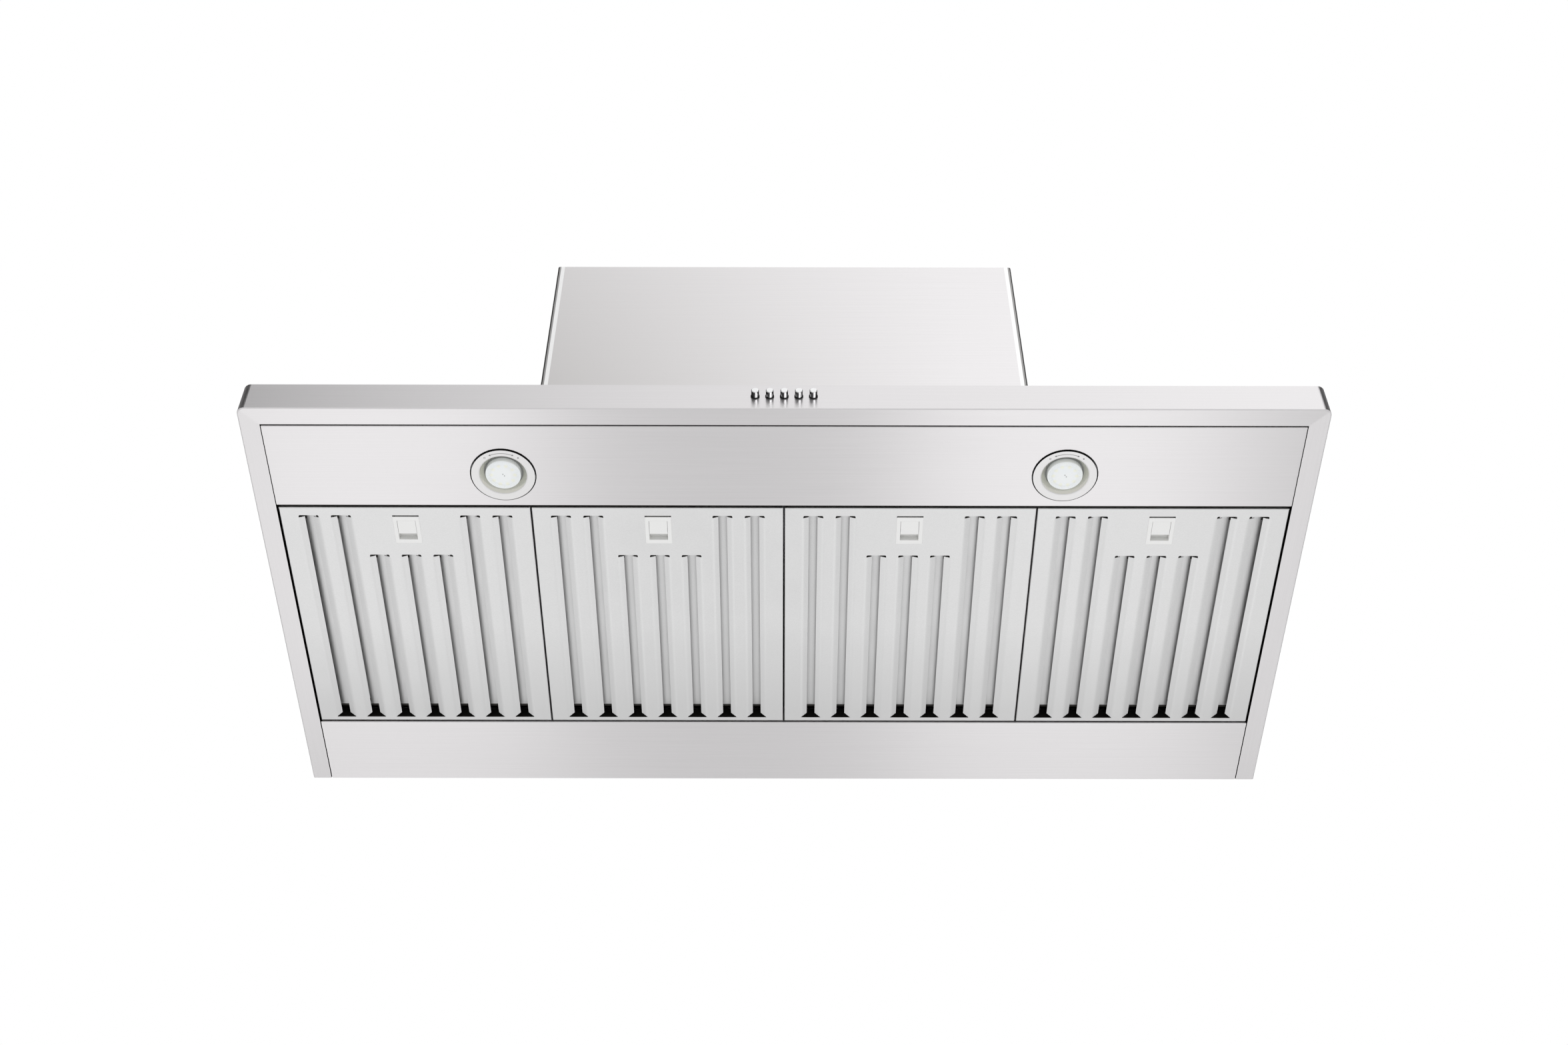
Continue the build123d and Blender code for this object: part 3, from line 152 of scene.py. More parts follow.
def inner_side(tree, place, centre, weights):
    """1 on faces that look towards the centre, 0 on faces that look away from it."""
    offset = add(tree, "VectorMath", {0: place, 1: centre}, operation="SUBTRACT").outputs["Vector"]
    offset = add(tree, "VectorMath", {0: offset, 1: weights}, operation="MULTIPLY").outputs["Vector"]
    facing = add(tree, "TexCoord").outputs["Normal"]
    away = add(tree, "VectorMath", {0: offset, 1: facing}, operation="DOT_PRODUCT").outputs["Value"]
    return add(tree, "Math", {0: away, 1: facing_limit}, operation="LESS_THAN").outputs[0]


# %% Brushed steel
# Colour and roughness of the painted shade on inner faces.
inner_shade_tone, inner_gloss = "#4E4C49", 0.6
grain_sizes_mm = ((260.0, 2.6), (90.0, 0.9))
gloss_spread, grain_depth, grain_strength, anisotropy = 0.025, 0.0002, 0.045, 0.75
edge_band_front, edge_band_foot, edge_band_blur = -0.2262, 0.0015, 0.0002
shade_left, shade_right, shade_top, shade_at_top = -0.275, 0.2, 0.32, 0.4


def brushed_steel(name, tones, along, across, roughness, centre, weights=(1.0, 1.0, 1.0), edge_bands=(), lower_left_shade=None):
    """Sheet steel with grain along some axes and scratches across others, painted shade on its inner faces,
    perhaps painted edge bands and painted shade at the lower left.
    """
    material, tree, shader = finish(name)
    place = add(tree, "TexCoord").outputs["Object"]
    grain = []
    for length_mm, width_mm in grain_sizes_mm:
        run = add(tree, "VectorMath", {0: place, 1: along}, operation="DOT_PRODUCT")
        step = add(tree, "VectorMath", {0: place, 1: across}, operation="DOT_PRODUCT")
        run = add(tree, "Math", {0: run.outputs["Value"], 1: 1000 / length_mm}, operation="MULTIPLY")
        step = add(tree, "Math", {0: step.outputs["Value"], 1: 1000 / width_mm}, operation="MULTIPLY")
        spot = add(tree, "CombineXYZ", {"X": run.outputs[0], "Y": step.outputs[0]})
        noise = add(tree, "TexNoise", {"Vector": spot.outputs[0], "Scale": 1.0, "Detail": 2.0},
                    noise_dimensions="2D")
        grain.append(noise.outputs["Fac"])
    both = add(tree, "Mix", {"Factor": 0.5, 2: grain[0], 3: grain[1]}).outputs[0]
    low_tone, high_tone = tones
    tone = add(tree, "MapRange", {"Value": both, "From Min": noise_low, "From Max": noise_high})
    shade = add(tree, "Mix", {"Factor": tone.outputs[0], 6: paint(low_tone), 7: paint(high_tone)},
                data_type="RGBA")
    apart = add(tree, "SeparateXYZ", {0: place})
    # Painted shade: darker towards the lower left of the box.
    if lower_left_shade:
        far_left = add(tree, "MapRange", {"Value": apart.outputs["X"], "From Min": shade_left,
                                          "From Max": shade_right, "To Min": 1.0, "To Max": 0.0})
        low_down = add(tree, "MapRange", {"Value": apart.outputs["Z"], "From Min": 0.0,
                                          "From Max": shade_top, "To Min": 1.0, "To Max": shade_at_top})
        tone_shift = add(tree, "Math", {0: far_left.outputs[0], 1: low_down.outputs[0]}, operation="MULTIPLY")
        shade = add(tree, "Mix", {"Factor": tone_shift.outputs[0], 6: shade.outputs[2], 7: paint(lower_left_shade)},
                    data_type="RGBA")
    # Inner faces take the painted shade.
    inside = inner_side(tree, place, centre, weights)
    shade = add(tree, "Mix", {"Factor": inside, 6: shade.outputs[2], 7: paint(inner_shade_tone)}, data_type="RGBA")
    gloss = add(tree, "MapRange", {"Value": both, "From Min": noise_low, "From Max": noise_high,
                                   "To Min": roughness - gloss_spread, "To Max": roughness + gloss_spread})
    gloss = add(tree, "Mix", {"Factor": inside, 2: gloss.outputs[0], 3: inner_gloss})
    # Painted highlight and painted shade in bands along the box's front edges.
    if edge_bands:
        out = add(tree, "Math", {0: apart.outputs["X"]}, operation="ABSOLUTE")
        front = add(tree, "Math", {0: apart.outputs["Y"], 1: edge_band_front}, operation="LESS_THAN")
        clear = add(tree, "Math", {0: apart.outputs["Z"], 1: edge_band_foot}, operation="GREATER_THAN")
        front = add(tree, "Math", {0: front.outputs[0], 1: clear.outputs[0]}, operation="MULTIPLY")
    for start, tint, edge_band_gloss in edge_bands:
        reach = add(tree, "MapRange", {"Value": out.outputs[0], "From Min": start - edge_band_blur,
                                       "From Max": start + edge_band_blur, "To Max": front.outputs[0]})
        shade = add(tree, "Mix", {"Factor": reach.outputs[0], 6: shade.outputs[2], 7: paint(tint)},
                    data_type="RGBA")
        gloss = add(tree, "Mix", {"Factor": reach.outputs[0], 2: gloss.outputs[0], 3: edge_band_gloss})
    tree.links.new(shade.outputs[2], shader.inputs["Base Color"])
    tree.links.new(gloss.outputs[0], shader.inputs["Roughness"])
    bump = add(tree, "Bump", {"Height": both, "Strength": grain_strength, "Distance": grain_depth})
    tree.links.new(bump.outputs[0], shader.inputs["Normal"])
    normal = add(tree, "NewGeometry").outputs["Normal"]
    comb = add(tree, "VectorMath", {0: normal, 1: along}, operation="CROSS_PRODUCT")
    tree.links.new(comb.outputs["Vector"], shader.inputs["Tangent"])
    shader.inputs["Metallic"].default_value = 1.0
    shader.inputs["Anisotropic"].default_value = anisotropy
    return material


# The box's steel is given lighter tones than the canopy's, painted light on the same steel.
sheet_tones, wall_lit_tones, wall_shade_tone = ("#E0DEDF", "#E4E2E3"), ("#EAE8E9", "#EFEDEE"), "#D2D0CF"
sheet_gloss, wall_gloss = 0.32, 0.34
# Edge bands: a painted highlight, then two strips of painted shade.
box_edge_bands = ((0.2668, "#FDFDFD", 0.34), (0.2712, "#A8A7A6", 0.40), (0.2732, "#7D7C7B", 0.40))
tray_middle, box_middle, rear_middle = (0.0, 0.0, -0.02), (0.0, -0.028, 0.16), (0.0, 0.24, -0.02)
sideways, lengthways, round_about = (1, 0, 0), (0, 1, 0), (1, 1, 0)
front_grain = brushed_steel("brushed_304_front", sheet_tones, sideways, (0, 1, 1), sheet_gloss, tray_middle)
side_grain = brushed_steel("brushed_304_side", sheet_tones, lengthways, (1, 0, 1), sheet_gloss, tray_middle)
rear_grain = brushed_steel("brushed_304_rear", sheet_tones, sideways, (0, 1, 1), sheet_gloss, rear_middle)
wall_grain = brushed_steel("brushed_304_wall", wall_lit_tones, round_about, (0, 0, 1), wall_gloss, box_middle,
                           weights=(1.0, 1.0, 0.0), edge_bands=box_edge_bands, lower_left_shade=wall_shade_tone)
dress(front_grain, "canopy_front", "light_panel", "canopy_back", "canopy_roof")
dress(rear_grain, "rear_panel")
dress(side_grain, "canopy_sides")
dress(wall_grain, "housing_wrap", "housing_back", "housing_lid")

# %% [markdown]
# ## Filter steel
# The baffle filters are pressed from 430 stainless with a fine satin face that has no clear direction.
# Its gloss is softer than the canopy's, so the filters look flatter and a little greyer.
# A fine even noise gives the satin, and a slow one the faint cloudy marks of washing.
# Towards the rear the steel is a little darker.
# The upper sides look into the duct and are painted dark, a painted shade, so the slots show dark behind the
# bright lands.
# At both corners of a slot's front end the layer above is painted dark too, a painted shade.
# A ping-pong node folds the four filters and their slots onto one, so one test finds all those corners.

# %% Satin filter steel
filter_middle = (0.0, 0.019, -0.030)
half_filter, half_pitch, half_throat = 0.14025, 0.01795, 0.0052
short_slot_end, long_slot_end, spot_core, spot_edge = -0.0690, -0.1270, 0.0025, 0.0035
layer_height, layer_reach, rear_start, rear_end = -0.0307, 0.0011, 0.03, 0.17
satin_mm, cloud_mm, cloud_share, satin_gloss, slot_gloss = 1.5, 45.0, 0.45, (0.41, 0.47), 0.7
filter_steel, tree, shader = finish("satin_430_filter")
place = add(tree, "TexCoord").outputs["Object"]
satin = add(tree, "TexNoise", {"Vector": place, "Scale": 1000 / satin_mm, "Detail": 2.0}).outputs["Fac"]
cloud = add(tree, "TexNoise", {"Vector": place, "Scale": 1000 / cloud_mm, "Detail": 3.0}).outputs["Fac"]
tone = add(tree, "Mix", {"Factor": cloud_share, 2: satin, 3: cloud}).outputs[0]
tone = add(tree, "MapRange", {"Value": tone, "From Min": noise_low, "From Max": noise_high})
shade = add(tree, "Mix", {"Factor": tone.outputs[0], 6: paint("#E1E1E1"), 7: paint("#E8E8E8")},
            data_type="RGBA")
apart = add(tree, "SeparateXYZ", {0: place})
rearwards = add(tree, "MapRange", {"Value": apart.outputs["Y"], "From Min": rear_start, "From Max": rear_end})
shade = add(tree, "Mix", {"Factor": rearwards.outputs[0], 6: shade.outputs[2], 7: paint("#D6D6D6")},
            data_type="RGBA")
# Upper sides take the painted shade.
upper = inner_side(tree, place, filter_middle, (0.0, 1.0, 1.0))
# Painted shade at the corners of each slot's front end, on the layer above.
across = add(tree, "Math", {0: apart.outputs["X"], 1: half_filter}, operation="PINGPONG")
across = add(tree, "Math", {0: half_filter, 1: across.outputs[0]}, operation="SUBTRACT")
beside = add(tree, "Math", {0: across.outputs[0], 1: half_pitch}, operation="PINGPONG")
beside = add(tree, "Math", {0: beside.outputs[0], 1: half_throat}, operation="GREATER_THAN")
long_slot = add(tree, "Math", {0: across.outputs[0], 1: 3 * half_pitch}, operation="GREATER_THAN")
slot_end = add(tree, "Mix", {"Factor": long_slot.outputs[0], 2: short_slot_end, 3: long_slot_end})
away = add(tree, "Math", {0: apart.outputs["Y"], 1: slot_end.outputs[0]}, operation="SUBTRACT")
away = add(tree, "Math", {0: away.outputs[0]}, operation="ABSOLUTE")
slot_corner_shade = add(tree, "MapRange", {"Value": away.outputs[0], "From Min": spot_core, "From Max": spot_edge,
                                "To Min": beside.outputs[0], "To Max": 0.0})
above = add(tree, "Math", {0: apart.outputs["Z"], 1: layer_height, 2: layer_reach}, operation="COMPARE")
slot_corner_shade = add(tree, "Math", {0: slot_corner_shade.outputs[0], 1: above.outputs[0]}, operation="MULTIPLY")
upper = add(tree, "Math", {0: upper, 1: slot_corner_shade.outputs[0]}, operation="MAXIMUM").outputs[0]
shade = add(tree, "Mix", {"Factor": upper, 6: shade.outputs[2], 7: paint(inner_shade_tone)}, data_type="RGBA")
tree.links.new(shade.outputs[2], shader.inputs["Base Color"])
gloss = add(tree, "MapRange", {"Value": cloud, "From Min": noise_low, "From Max": noise_high,
                               "To Min": satin_gloss[0], "To Max": satin_gloss[1]})
gloss = add(tree, "Mix", {"Factor": upper, 2: gloss.outputs[0], 3: slot_gloss})
tree.links.new(gloss.outputs[0], shader.inputs["Roughness"])
bump = add(tree, "Bump", {"Height": satin, "Strength": 0.04, "Distance": 0.0002})
tree.links.new(bump.outputs[0], shader.inputs["Normal"])
shader.inputs["Metallic"].default_value = 1.0
for number in range(1, 5):
    dress(filter_steel, f"filter_pan_{number}", f"filter_baffle_{number}")

# %% [markdown]
# ## Moulded plastics
# The latches are injection moulded in white ABS, with the faint orange-peel skin that a mould leaves.
# The switch block, the button sleeves and the capacitor are plainer mouldings of the same family.
# A plastic is not a metal: it keeps its own colour and shows a weak clear gloss on top.
# Inside the latch's pocket the plastic is painted greyer above the face, a painted shade.

# %% Plastics
pocket_blur, skin_mm, pocket_mottle_mm, plastic_swing = 0.0006, 1.0, 1.6, 0.06


def moulded_plastic(name, low, high, roughness, pocket=None):
    """Moulded plastic with a fine skin about 1 mm across, and perhaps a pocket above a height painted greyer
    as shade.
    """
    material, tree, shader = finish(name)
    place = add(tree, "TexCoord").outputs["Object"]
    skin = add(tree, "TexNoise", {"Vector": place, "Scale": 1000 / skin_mm, "Detail": 2.0}).outputs["Fac"]
    shade = add(tree, "Mix", {"Factor": skin, 6: paint(low), 7: paint(high)}, data_type="RGBA")
    # The pocket's greyer tone is painted shade.
    if pocket:
        pocket_mottle = add(tree, "TexNoise", {"Vector": place, "Scale": 1000 / pocket_mottle_mm, "Detail": 3.0}).outputs["Fac"]
        grey = add(tree, "Mix", {"Factor": pocket_mottle, 6: paint("#E6E6E4"), 7: paint("#F3F3F1")},
                   data_type="RGBA")
        high_up = add(tree, "SeparateXYZ", {0: place}).outputs["Z"]
        deep = add(tree, "MapRange", {"Value": high_up, "From Min": pocket, "From Max": pocket + pocket_blur})
        shade = add(tree, "Mix", {"Factor": deep.outputs[0], 6: shade.outputs[2], 7: grey.outputs[2]},
                    data_type="RGBA")
    tree.links.new(shade.outputs[2], shader.inputs["Base Color"])
    gloss = add(tree, "MapRange", {"Value": skin, "To Min": roughness - plastic_swing,
                                   "To Max": roughness + plastic_swing})
    tree.links.new(gloss.outputs[0], shader.inputs["Roughness"])
    bump = add(tree, "Bump", {"Height": skin, "Strength": 0.08, "Distance": 0.0001})
    tree.links.new(bump.outputs[0], shader.inputs["Normal"])
    shader.inputs["IOR"].default_value = 1.53
    return material


latch_white = moulded_plastic("white_abs_latch", "#F9F9F8", "#FDFDFC", 0.38, pocket=-0.0408)
black_abs = moulded_plastic("black_abs", "#1B1B1C", "#222223", 0.45)
white_nylon = moulded_plastic("white_nylon", "#E4E4E0", "#ECECE9", 0.42)
for number in range(1, 5):
    dress(latch_white, f"latch_plate_{number}", f"latch_slider_{number}")
dress(black_abs, "switch_block", "button_collars")
dress(white_nylon, "capacitor")

# %% [markdown]
# ## Polished chrome
# The push buttons are plated brass, polished before plating, and they mirror the room.
# A mirror has almost no roughness; the only texture is the slight unevenness of the polishing wheel.

# %% Chrome
polish_mm = 3.0
chrome, tree, shader = finish("polished_chrome")
place = add(tree, "TexCoord").outputs["Object"]
polish = add(tree, "TexNoise", {"Vector": place, "Scale": 1000 / polish_mm, "Detail": 2.0}).outputs["Fac"]
shade = add(tree, "Mix", {"Factor": polish, 6: paint("#E6E7E8"), 7: paint("#F0F0F0")}, data_type="RGBA")
tree.links.new(shade.outputs[2], shader.inputs["Base Color"])
gloss = add(tree, "MapRange", {"Value": polish, "To Min": 0.04, "To Max": 0.09})
tree.links.new(gloss.outputs[0], shader.inputs["Roughness"])
shader.inputs["Metallic"].default_value = 1.0
dress(chrome, *[f"push_button_{number}" for number in range(1, 6)], "motor_shaft", "damper_rod")

# %% [markdown]
# ## Satin lamp bezels
# Each bezel is turned on a lathe and plated with satin nickel, so its marks run in circles round the lamp.
# The distance from the lamp's axis drives the pattern.
# Both lamps are the same distance from the middle, so the absolute X coordinate serves for the two.
# The cone inside the ring was polished afterwards to throw the light out, so its gloss is much higher,
# and it has a faint straw tint.
# The rim is painted black, a painted shade that reaches further in on the front side.

# %% Turned satin nickel
lamp_x, lamp_y, cone_mouth = 0.307, -0.196, 0.0258
cone_gloss, rim_radius, rim_lean, turning_mm = 0.18, 0.0348, -0.0114, 0.5


def from_lamp(tree):
    """Where a point lies from the nearer lamp's axis: a flat vector, and its front to back part alone."""
    apart = add(tree, "SeparateXYZ", {0: add(tree, "TexCoord").outputs["Object"]})
    side = add(tree, "Math", {0: apart.outputs["X"]}, operation="ABSOLUTE")
    side = add(tree, "Math", {0: side.outputs[0], 1: lamp_x}, operation="SUBTRACT")
    deep = add(tree, "Math", {0: apart.outputs["Y"], 1: lamp_y}, operation="SUBTRACT")
    flat = add(tree, "CombineXYZ", {"X": side.outputs[0], "Y": deep.outputs[0]})
    return flat.outputs[0], deep.outputs[0]


bezel_satin, tree, shader = finish("turned_satin_nickel")
flat, deep = from_lamp(tree)
radius = add(tree, "VectorMath", {0: flat}, operation="LENGTH")
ring = add(tree, "Math", {0: radius.outputs["Value"], 1: 1000 / turning_mm}, operation="MULTIPLY")
turned = add(tree, "TexNoise", {"W": ring.outputs[0], "Scale": 1.0, "Detail": 2.0},
             noise_dimensions="1D").outputs["Fac"]
shade = add(tree, "Mix", {"Factor": turned, 6: paint("#DFDEDE"), 7: paint("#EDECEC")}, data_type="RGBA")
flat_ring = add(tree, "Math", {0: radius.outputs["Value"], 1: cone_mouth}, operation="GREATER_THAN")
shade = add(tree, "Mix", {"Factor": flat_ring.outputs[0], 6: paint("#DEDDD4"), 7: shade.outputs[2]},
            data_type="RGBA")
# Painted shade: a black rim round the bezel, wider on the front side.
rim = add(tree, "Math", {0: deep, 1: rim_lean, 2: radius.outputs["Value"]}, operation="MULTIPLY_ADD")
rim = add(tree, "Math", {0: rim.outputs[0], 1: rim_radius}, operation="GREATER_THAN")
shade = add(tree, "Mix", {"Factor": rim.outputs[0], 6: shade.outputs[2], 7: paint("#141414")},
            data_type="RGBA")
tree.links.new(shade.outputs[2], shader.inputs["Base Color"])
gloss = add(tree, "MapRange", {"Value": turned, "To Min": 0.34, "To Max": 0.44})
gloss = add(tree, "Mix", {"Factor": flat_ring.outputs[0], 2: cone_gloss, 3: gloss.outputs[0]})
tree.links.new(gloss.outputs[0], shader.inputs["Roughness"])
bump = add(tree, "Bump", {"Height": turned, "Strength": 0.05, "Distance": 0.0001})
tree.links.new(bump.outputs[0], shader.inputs["Normal"])
shader.inputs["Metallic"].default_value = 1.0
dress(bezel_satin, "lamp_bezel_left", "lamp_bezel_right")

# %% [markdown]
# ## The working parts inside
# Behind the filters are galvanised sheet, bare aluminium, a painted motor and a braided loom.
# Zinc freezes on the steel in large flat crystals, the spangle, which a Voronoi pattern draws well.

# %% Inner finishes
metal_swing = 0.08


def worked_metal(name, low, high, size_mm, roughness, pattern):
    """A metal with patches of tone of about one size."""
    material, tree, shader = finish(name)
    place = add(tree, "TexCoord").outputs["Object"]
    patch = add(tree, pattern, {"Vector": place, "Scale": 1000 / size_mm})
    value = patch.outputs["Fac"] if pattern.endswith("Noise") else patch.outputs["Color"]
    shade = add(tree, "Mix", {"Factor": value, 6: paint(low), 7: paint(high)}, data_type="RGBA")
    tree.links.new(shade.outputs[2], shader.inputs["Base Color"])
    gloss = add(tree, "MapRange", {"Value": value, "To Min": roughness - metal_swing,
                                   "To Max": roughness + metal_swing})
    tree.links.new(gloss.outputs[0], shader.inputs["Roughness"])
    shader.inputs["Metallic"].default_value = 1.0
    return material


zinc = worked_metal("galvanised_sheet", "#A9AFB3", "#C6CACD", 7.0, 0.45, "TexVoronoi")
aluminium = worked_metal("mill_aluminium", "#C9CBCC", "#DADBDB", 2.0, 0.36, "TexNoise")
bright_zinc = worked_metal("zinc_plated_screw", "#C3C5C6", "#DCDDDD", 0.8, 0.28, "TexNoise")
spring_steel = worked_metal("blued_spring_steel", "#8C8F93", "#A4A7AA", 1.5, 0.34, "TexNoise")
dress(zinc, "duct_collar", "scroll_wrapper", "scroll_cheeks", "outlet_transition", "blower_wheel",
      "blower_rails", "motor_bracket", "terminal_box", "terminal_cover", "capacitor_strap", "filter_hanger")
dress(aluminium, "damper_flap_front", "damper_flap_rear", "lamp_cans")
dress(bright_zinc, "housing_screws")
dress(spring_steel, *[f"latch_tongue_{number}" for number in range(1, 5)])
motor_paint = moulded_plastic("motor_enamel", "#2B2D30", "#35373A", 0.4)
lamp_body = moulded_plastic("lamp_body_grey", "#7F817F", "#919391", 0.5)
dress(motor_paint, "motor")
dress(lamp_body, "lamp_modules")

# %% [markdown]
# ## The loom sleeve
# The wires run in a braided sleeve of black polyester, woven on the slant.
# Two waves at right angles to each other make the crossing strands.
# A wave repeats after about a third of its size, so 20 mm gives strands 7 mm apart,
# which is coarser than the real braid, so that it shows.

# %% Braided sleeve
weave_mm = 20.0
loom_sleeve, tree, shader = finish("braided_sleeve")
place = add(tree, "TexCoord").outputs["Object"]
one = add(tree, "TexWave", {"Vector": place, "Scale": 1000 / weave_mm}, bands_direction="DIAGONAL")
turned_place = add(tree, "Mapping", {"Vector": place, "Rotation": (0.0, 0.0, math.radians(90))})
two = add(tree, "TexWave", {"Vector": turned_place.outputs[0], "Scale": 1000 / weave_mm},
          bands_direction="DIAGONAL")
weave = add(tree, "Math", {0: one.outputs["Fac"], 1: two.outputs["Fac"]}, operation="MULTIPLY")
shade = add(tree, "Mix", {"Factor": weave.outputs[0], 6: paint("#141414"), 7: paint("#343434")},
            data_type="RGBA")
tree.links.new(shade.outputs[2], shader.inputs["Base Color"])
bump = add(tree, "Bump", {"Height": weave.outputs[0], "Strength": 0.4, "Distance": 0.0004})
tree.links.new(bump.outputs[0], shader.inputs["Normal"])
shader.inputs["Roughness"].default_value = 0.6
dress(loom_sleeve, "wiring_loom")

# %% [markdown]
# ## Working in edit mode
# A few pieces are small mouldings and prints that the engineering model leaves plain.
# They are shaped as by hand: a primitive is added and opened in edit mode, and faces are chosen and pulled.
# Small functions choose pieces, open one, pick its faces by a test, settle its place into its mesh,
# copy it with a mesh of its own, and join several pieces into one.


# %% Edit mode helpers
def choose(*pieces):
    """Selects only these pieces and makes the first one active."""
    bpy.ops.object.select_all(action="DESELECT")
    for piece in pieces:
        piece.select_set(True)
    bpy.context.view_layer.objects.active = pieces[0]


def edit(piece):
    """Opens one piece in edit mode, with none of its faces selected."""
    choose(piece)
    bpy.ops.object.mode_set(mode="EDIT")
    bpy.ops.mesh.select_mode(type="FACE")
    bpy.ops.mesh.select_all(action="DESELECT")


def pick(piece, chosen):
    """Selects only the faces that a test chooses."""
    bpy.ops.mesh.select_all(action="DESELECT")
    mesh = bmesh.from_edit_mesh(piece.data)
    for face in mesh.faces:
        if chosen(face):
            face.select_set(True)
    bmesh.update_edit_mesh(piece.data)


def settle(piece):
    """Leaves edit mode and puts the piece's place into its mesh."""
    bpy.ops.object.mode_set(mode="OBJECT")
    choose(piece)
    bpy.ops.object.transform_apply(location=True, rotation=True, scale=True)


def copied(piece, move=(0.0, 0.0, 0.0), turn=(0.0, 0.0, 0.0)):
    """A copy with its own mesh, turned about the origin and then moved."""
    choose(piece)
    bpy.ops.object.duplicate()
    twin = bpy.context.object
    twin.location, twin.rotation_euler = move, turn
    settle(twin)
    return twin


def joined(name, pieces):
    """Several pieces as one, under one name."""
    choose(*pieces)
    bpy.ops.object.join()
    pieces[0].name = name
    return pieces[0]


# %% [markdown]
# ## The lamp lenses
# A polycarbonate cap covers the lamp, opal white, with radial ribs that spread the light.
# Ten small diodes stand in a circle behind it and show through as faint yellow spots.
# The cap starts as a cylinder of the lens's size with its lower edge rounded by a bevel.
# The underside is inset twice, which leaves a ring of quads, and every other quad is pulled into a rib.
# Two more insets make a small step and a gentle swell in the middle.

# %% Lens material
diode_count, diode_circle, diode_core, diode_edge, diode_glow = 10, 0.0128, 0.0008, 0.0030, 0.5
haze_mm = 9.0
lens_opal, tree, shader = finish("opal_polycarbonate")
place = add(tree, "TexCoord").outputs["Object"]
tone_shift = add(tree, "TexNoise", {"Vector": place, "Scale": 1000 / haze_mm, "Detail": 1.0}).outputs["Fac"]
shade = add(tree, "Mix", {"Factor": tone_shift, 6: paint("#EEF2F5"), 7: paint("#F2F4F3")}, data_type="RGBA")
flat = from_lamp(tree)[0]
for number in range(diode_count):
    angle = 2 * math.pi * number / diode_count
    middle = (diode_circle * math.cos(angle), diode_circle * math.sin(angle), 0.0)
    away = add(tree, "VectorMath", {0: flat, 1: middle}, operation="DISTANCE")
    glow = add(tree, "MapRange", {"Value": away.outputs["Value"], "From Min": diode_core,
                                  "From Max": diode_edge, "To Min": diode_glow, "To Max": 0.0})
    shade = add(tree, "Mix", {"Factor": glow.outputs[0], 6: shade.outputs[2], 7: paint("#F2F1D2")},
                data_type="RGBA")
tree.links.new(shade.outputs[2], shader.inputs["Base Color"])
tree.links.new(shade.outputs[2], shader.inputs["Emission Color"])
shader.inputs["Emission Strength"].default_value = 0.09
shader.inputs["Roughness"].default_value = 0.2
shader.inputs["IOR"].default_value = 1.58
shader.inputs["Coat Weight"].default_value = 0.5
print("lens material", lens_opal.name, "with", diode_count, "diode spots")

# %% Lens modelling
lens_low, lens_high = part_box("lamp_lenses")
lens_radius, lens_round, edge_width = 0.0194, 0.0008, 0.0004
rib_count, rib_length, rib_height, rib_inner, rib_outer = 60, 0.0042, 0.0004, 0.0145, 0.0180
step_width, step_depth, swell_width, swell_height = 0.0008, 0.0002, 0.0040, 0.0003
bpy.ops.object.select_all(action="DESELECT")
bpy.ops.mesh.primitive_cylinder_add(
    vertices=2 * rib_count, radius=lens_radius, depth=lens_high.z - lens_low.z,
    location=(-lamp_x, lamp_y, (lens_low.z + lens_high.z) / 2),
)
lens = bpy.context.object
settle(lens)
edit(lens)
pick(lens, lambda face: face.normal.z < -0.9)
bpy.ops.mesh.bevel(offset=lens_round, segments=2, affect="EDGES")
pick(lens, lambda face: len(face.verts) > 4 and face.normal.z < -0.9)
bpy.ops.mesh.inset(thickness=edge_width, depth=0.0)
bpy.ops.mesh.inset(thickness=rib_length, depth=0.0)
bpy.ops.mesh.inset(thickness=step_width, depth=-step_depth)
bpy.ops.mesh.inset(thickness=swell_width, depth=swell_height)


def rib(face):
    """Every other quad of the ring between the two insets."""
    middle = face.calc_center_median() - Vector((-lamp_x, lamp_y, lens_low.z))
    turn = math.atan2(middle.y, middle.x) / (2 * math.pi) * 2 * rib_count
    in_ring = rib_inner < middle.xy.length < rib_outer and face.normal.z < -0.9
    return in_ring and round(turn - 0.5) % 2 == 0


pick(lens, rib)
bpy.ops.mesh.extrude_region_move(TRANSFORM_OT_translate={"value": (0.0, 0.0, -rib_height)})
settle(lens)
lens.data.materials.append(lens_opal)
lens_pair = joined("lamp_lens_pair", [lens, copied(lens, move=(2 * lamp_x, 0.0, 0.0))])
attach(lens_pair, "hood")
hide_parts("lamp_lenses")
print("two lenses with", rib_count, "ribs each,", len(lens_pair.data.polygons), "faces")

# %% [markdown]
# ## Thin discs and rings
# The lamps carry several thin pieces: spots, black rings of painted shade and printed marks.
# Each starts as a filled circle that is extruded downwards by its thickness.
# For a ring, an inset first marks off the width and the middle is deleted.


# %% Thin discs and rings
def disc(corners, radius, place, thickness, turn=0.0, line=0.0, kept=lambda middle: True):
    """A thin disc, or with a line's width only its outline, where a test keeps it."""
    bpy.ops.object.select_all(action="DESELECT")
    bpy.ops.mesh.primitive_circle_add(
        vertices=corners, radius=radius, fill_type="NGON", location=place, rotation=(0.0, 0.0, turn)
    )
    piece = bpy.context.object
    settle(piece)
    edit(piece)
    bpy.ops.mesh.select_all(action="SELECT")
    if line:
        bpy.ops.mesh.inset(thickness=line, depth=0.0)
        pick(piece, lambda face: len(face.verts) > 4 or not kept(face.calc_center_median()))
        bpy.ops.mesh.delete(type="FACE")
        bpy.ops.mesh.select_all(action="SELECT")
    bpy.ops.mesh.extrude_region_move(TRANSFORM_OT_translate={"value": (0.0, 0.0, -thickness)})
    bpy.ops.mesh.select_all(action="SELECT")
    bpy.ops.mesh.normals_make_consistent(inside=False)
    settle(piece)
    return piece


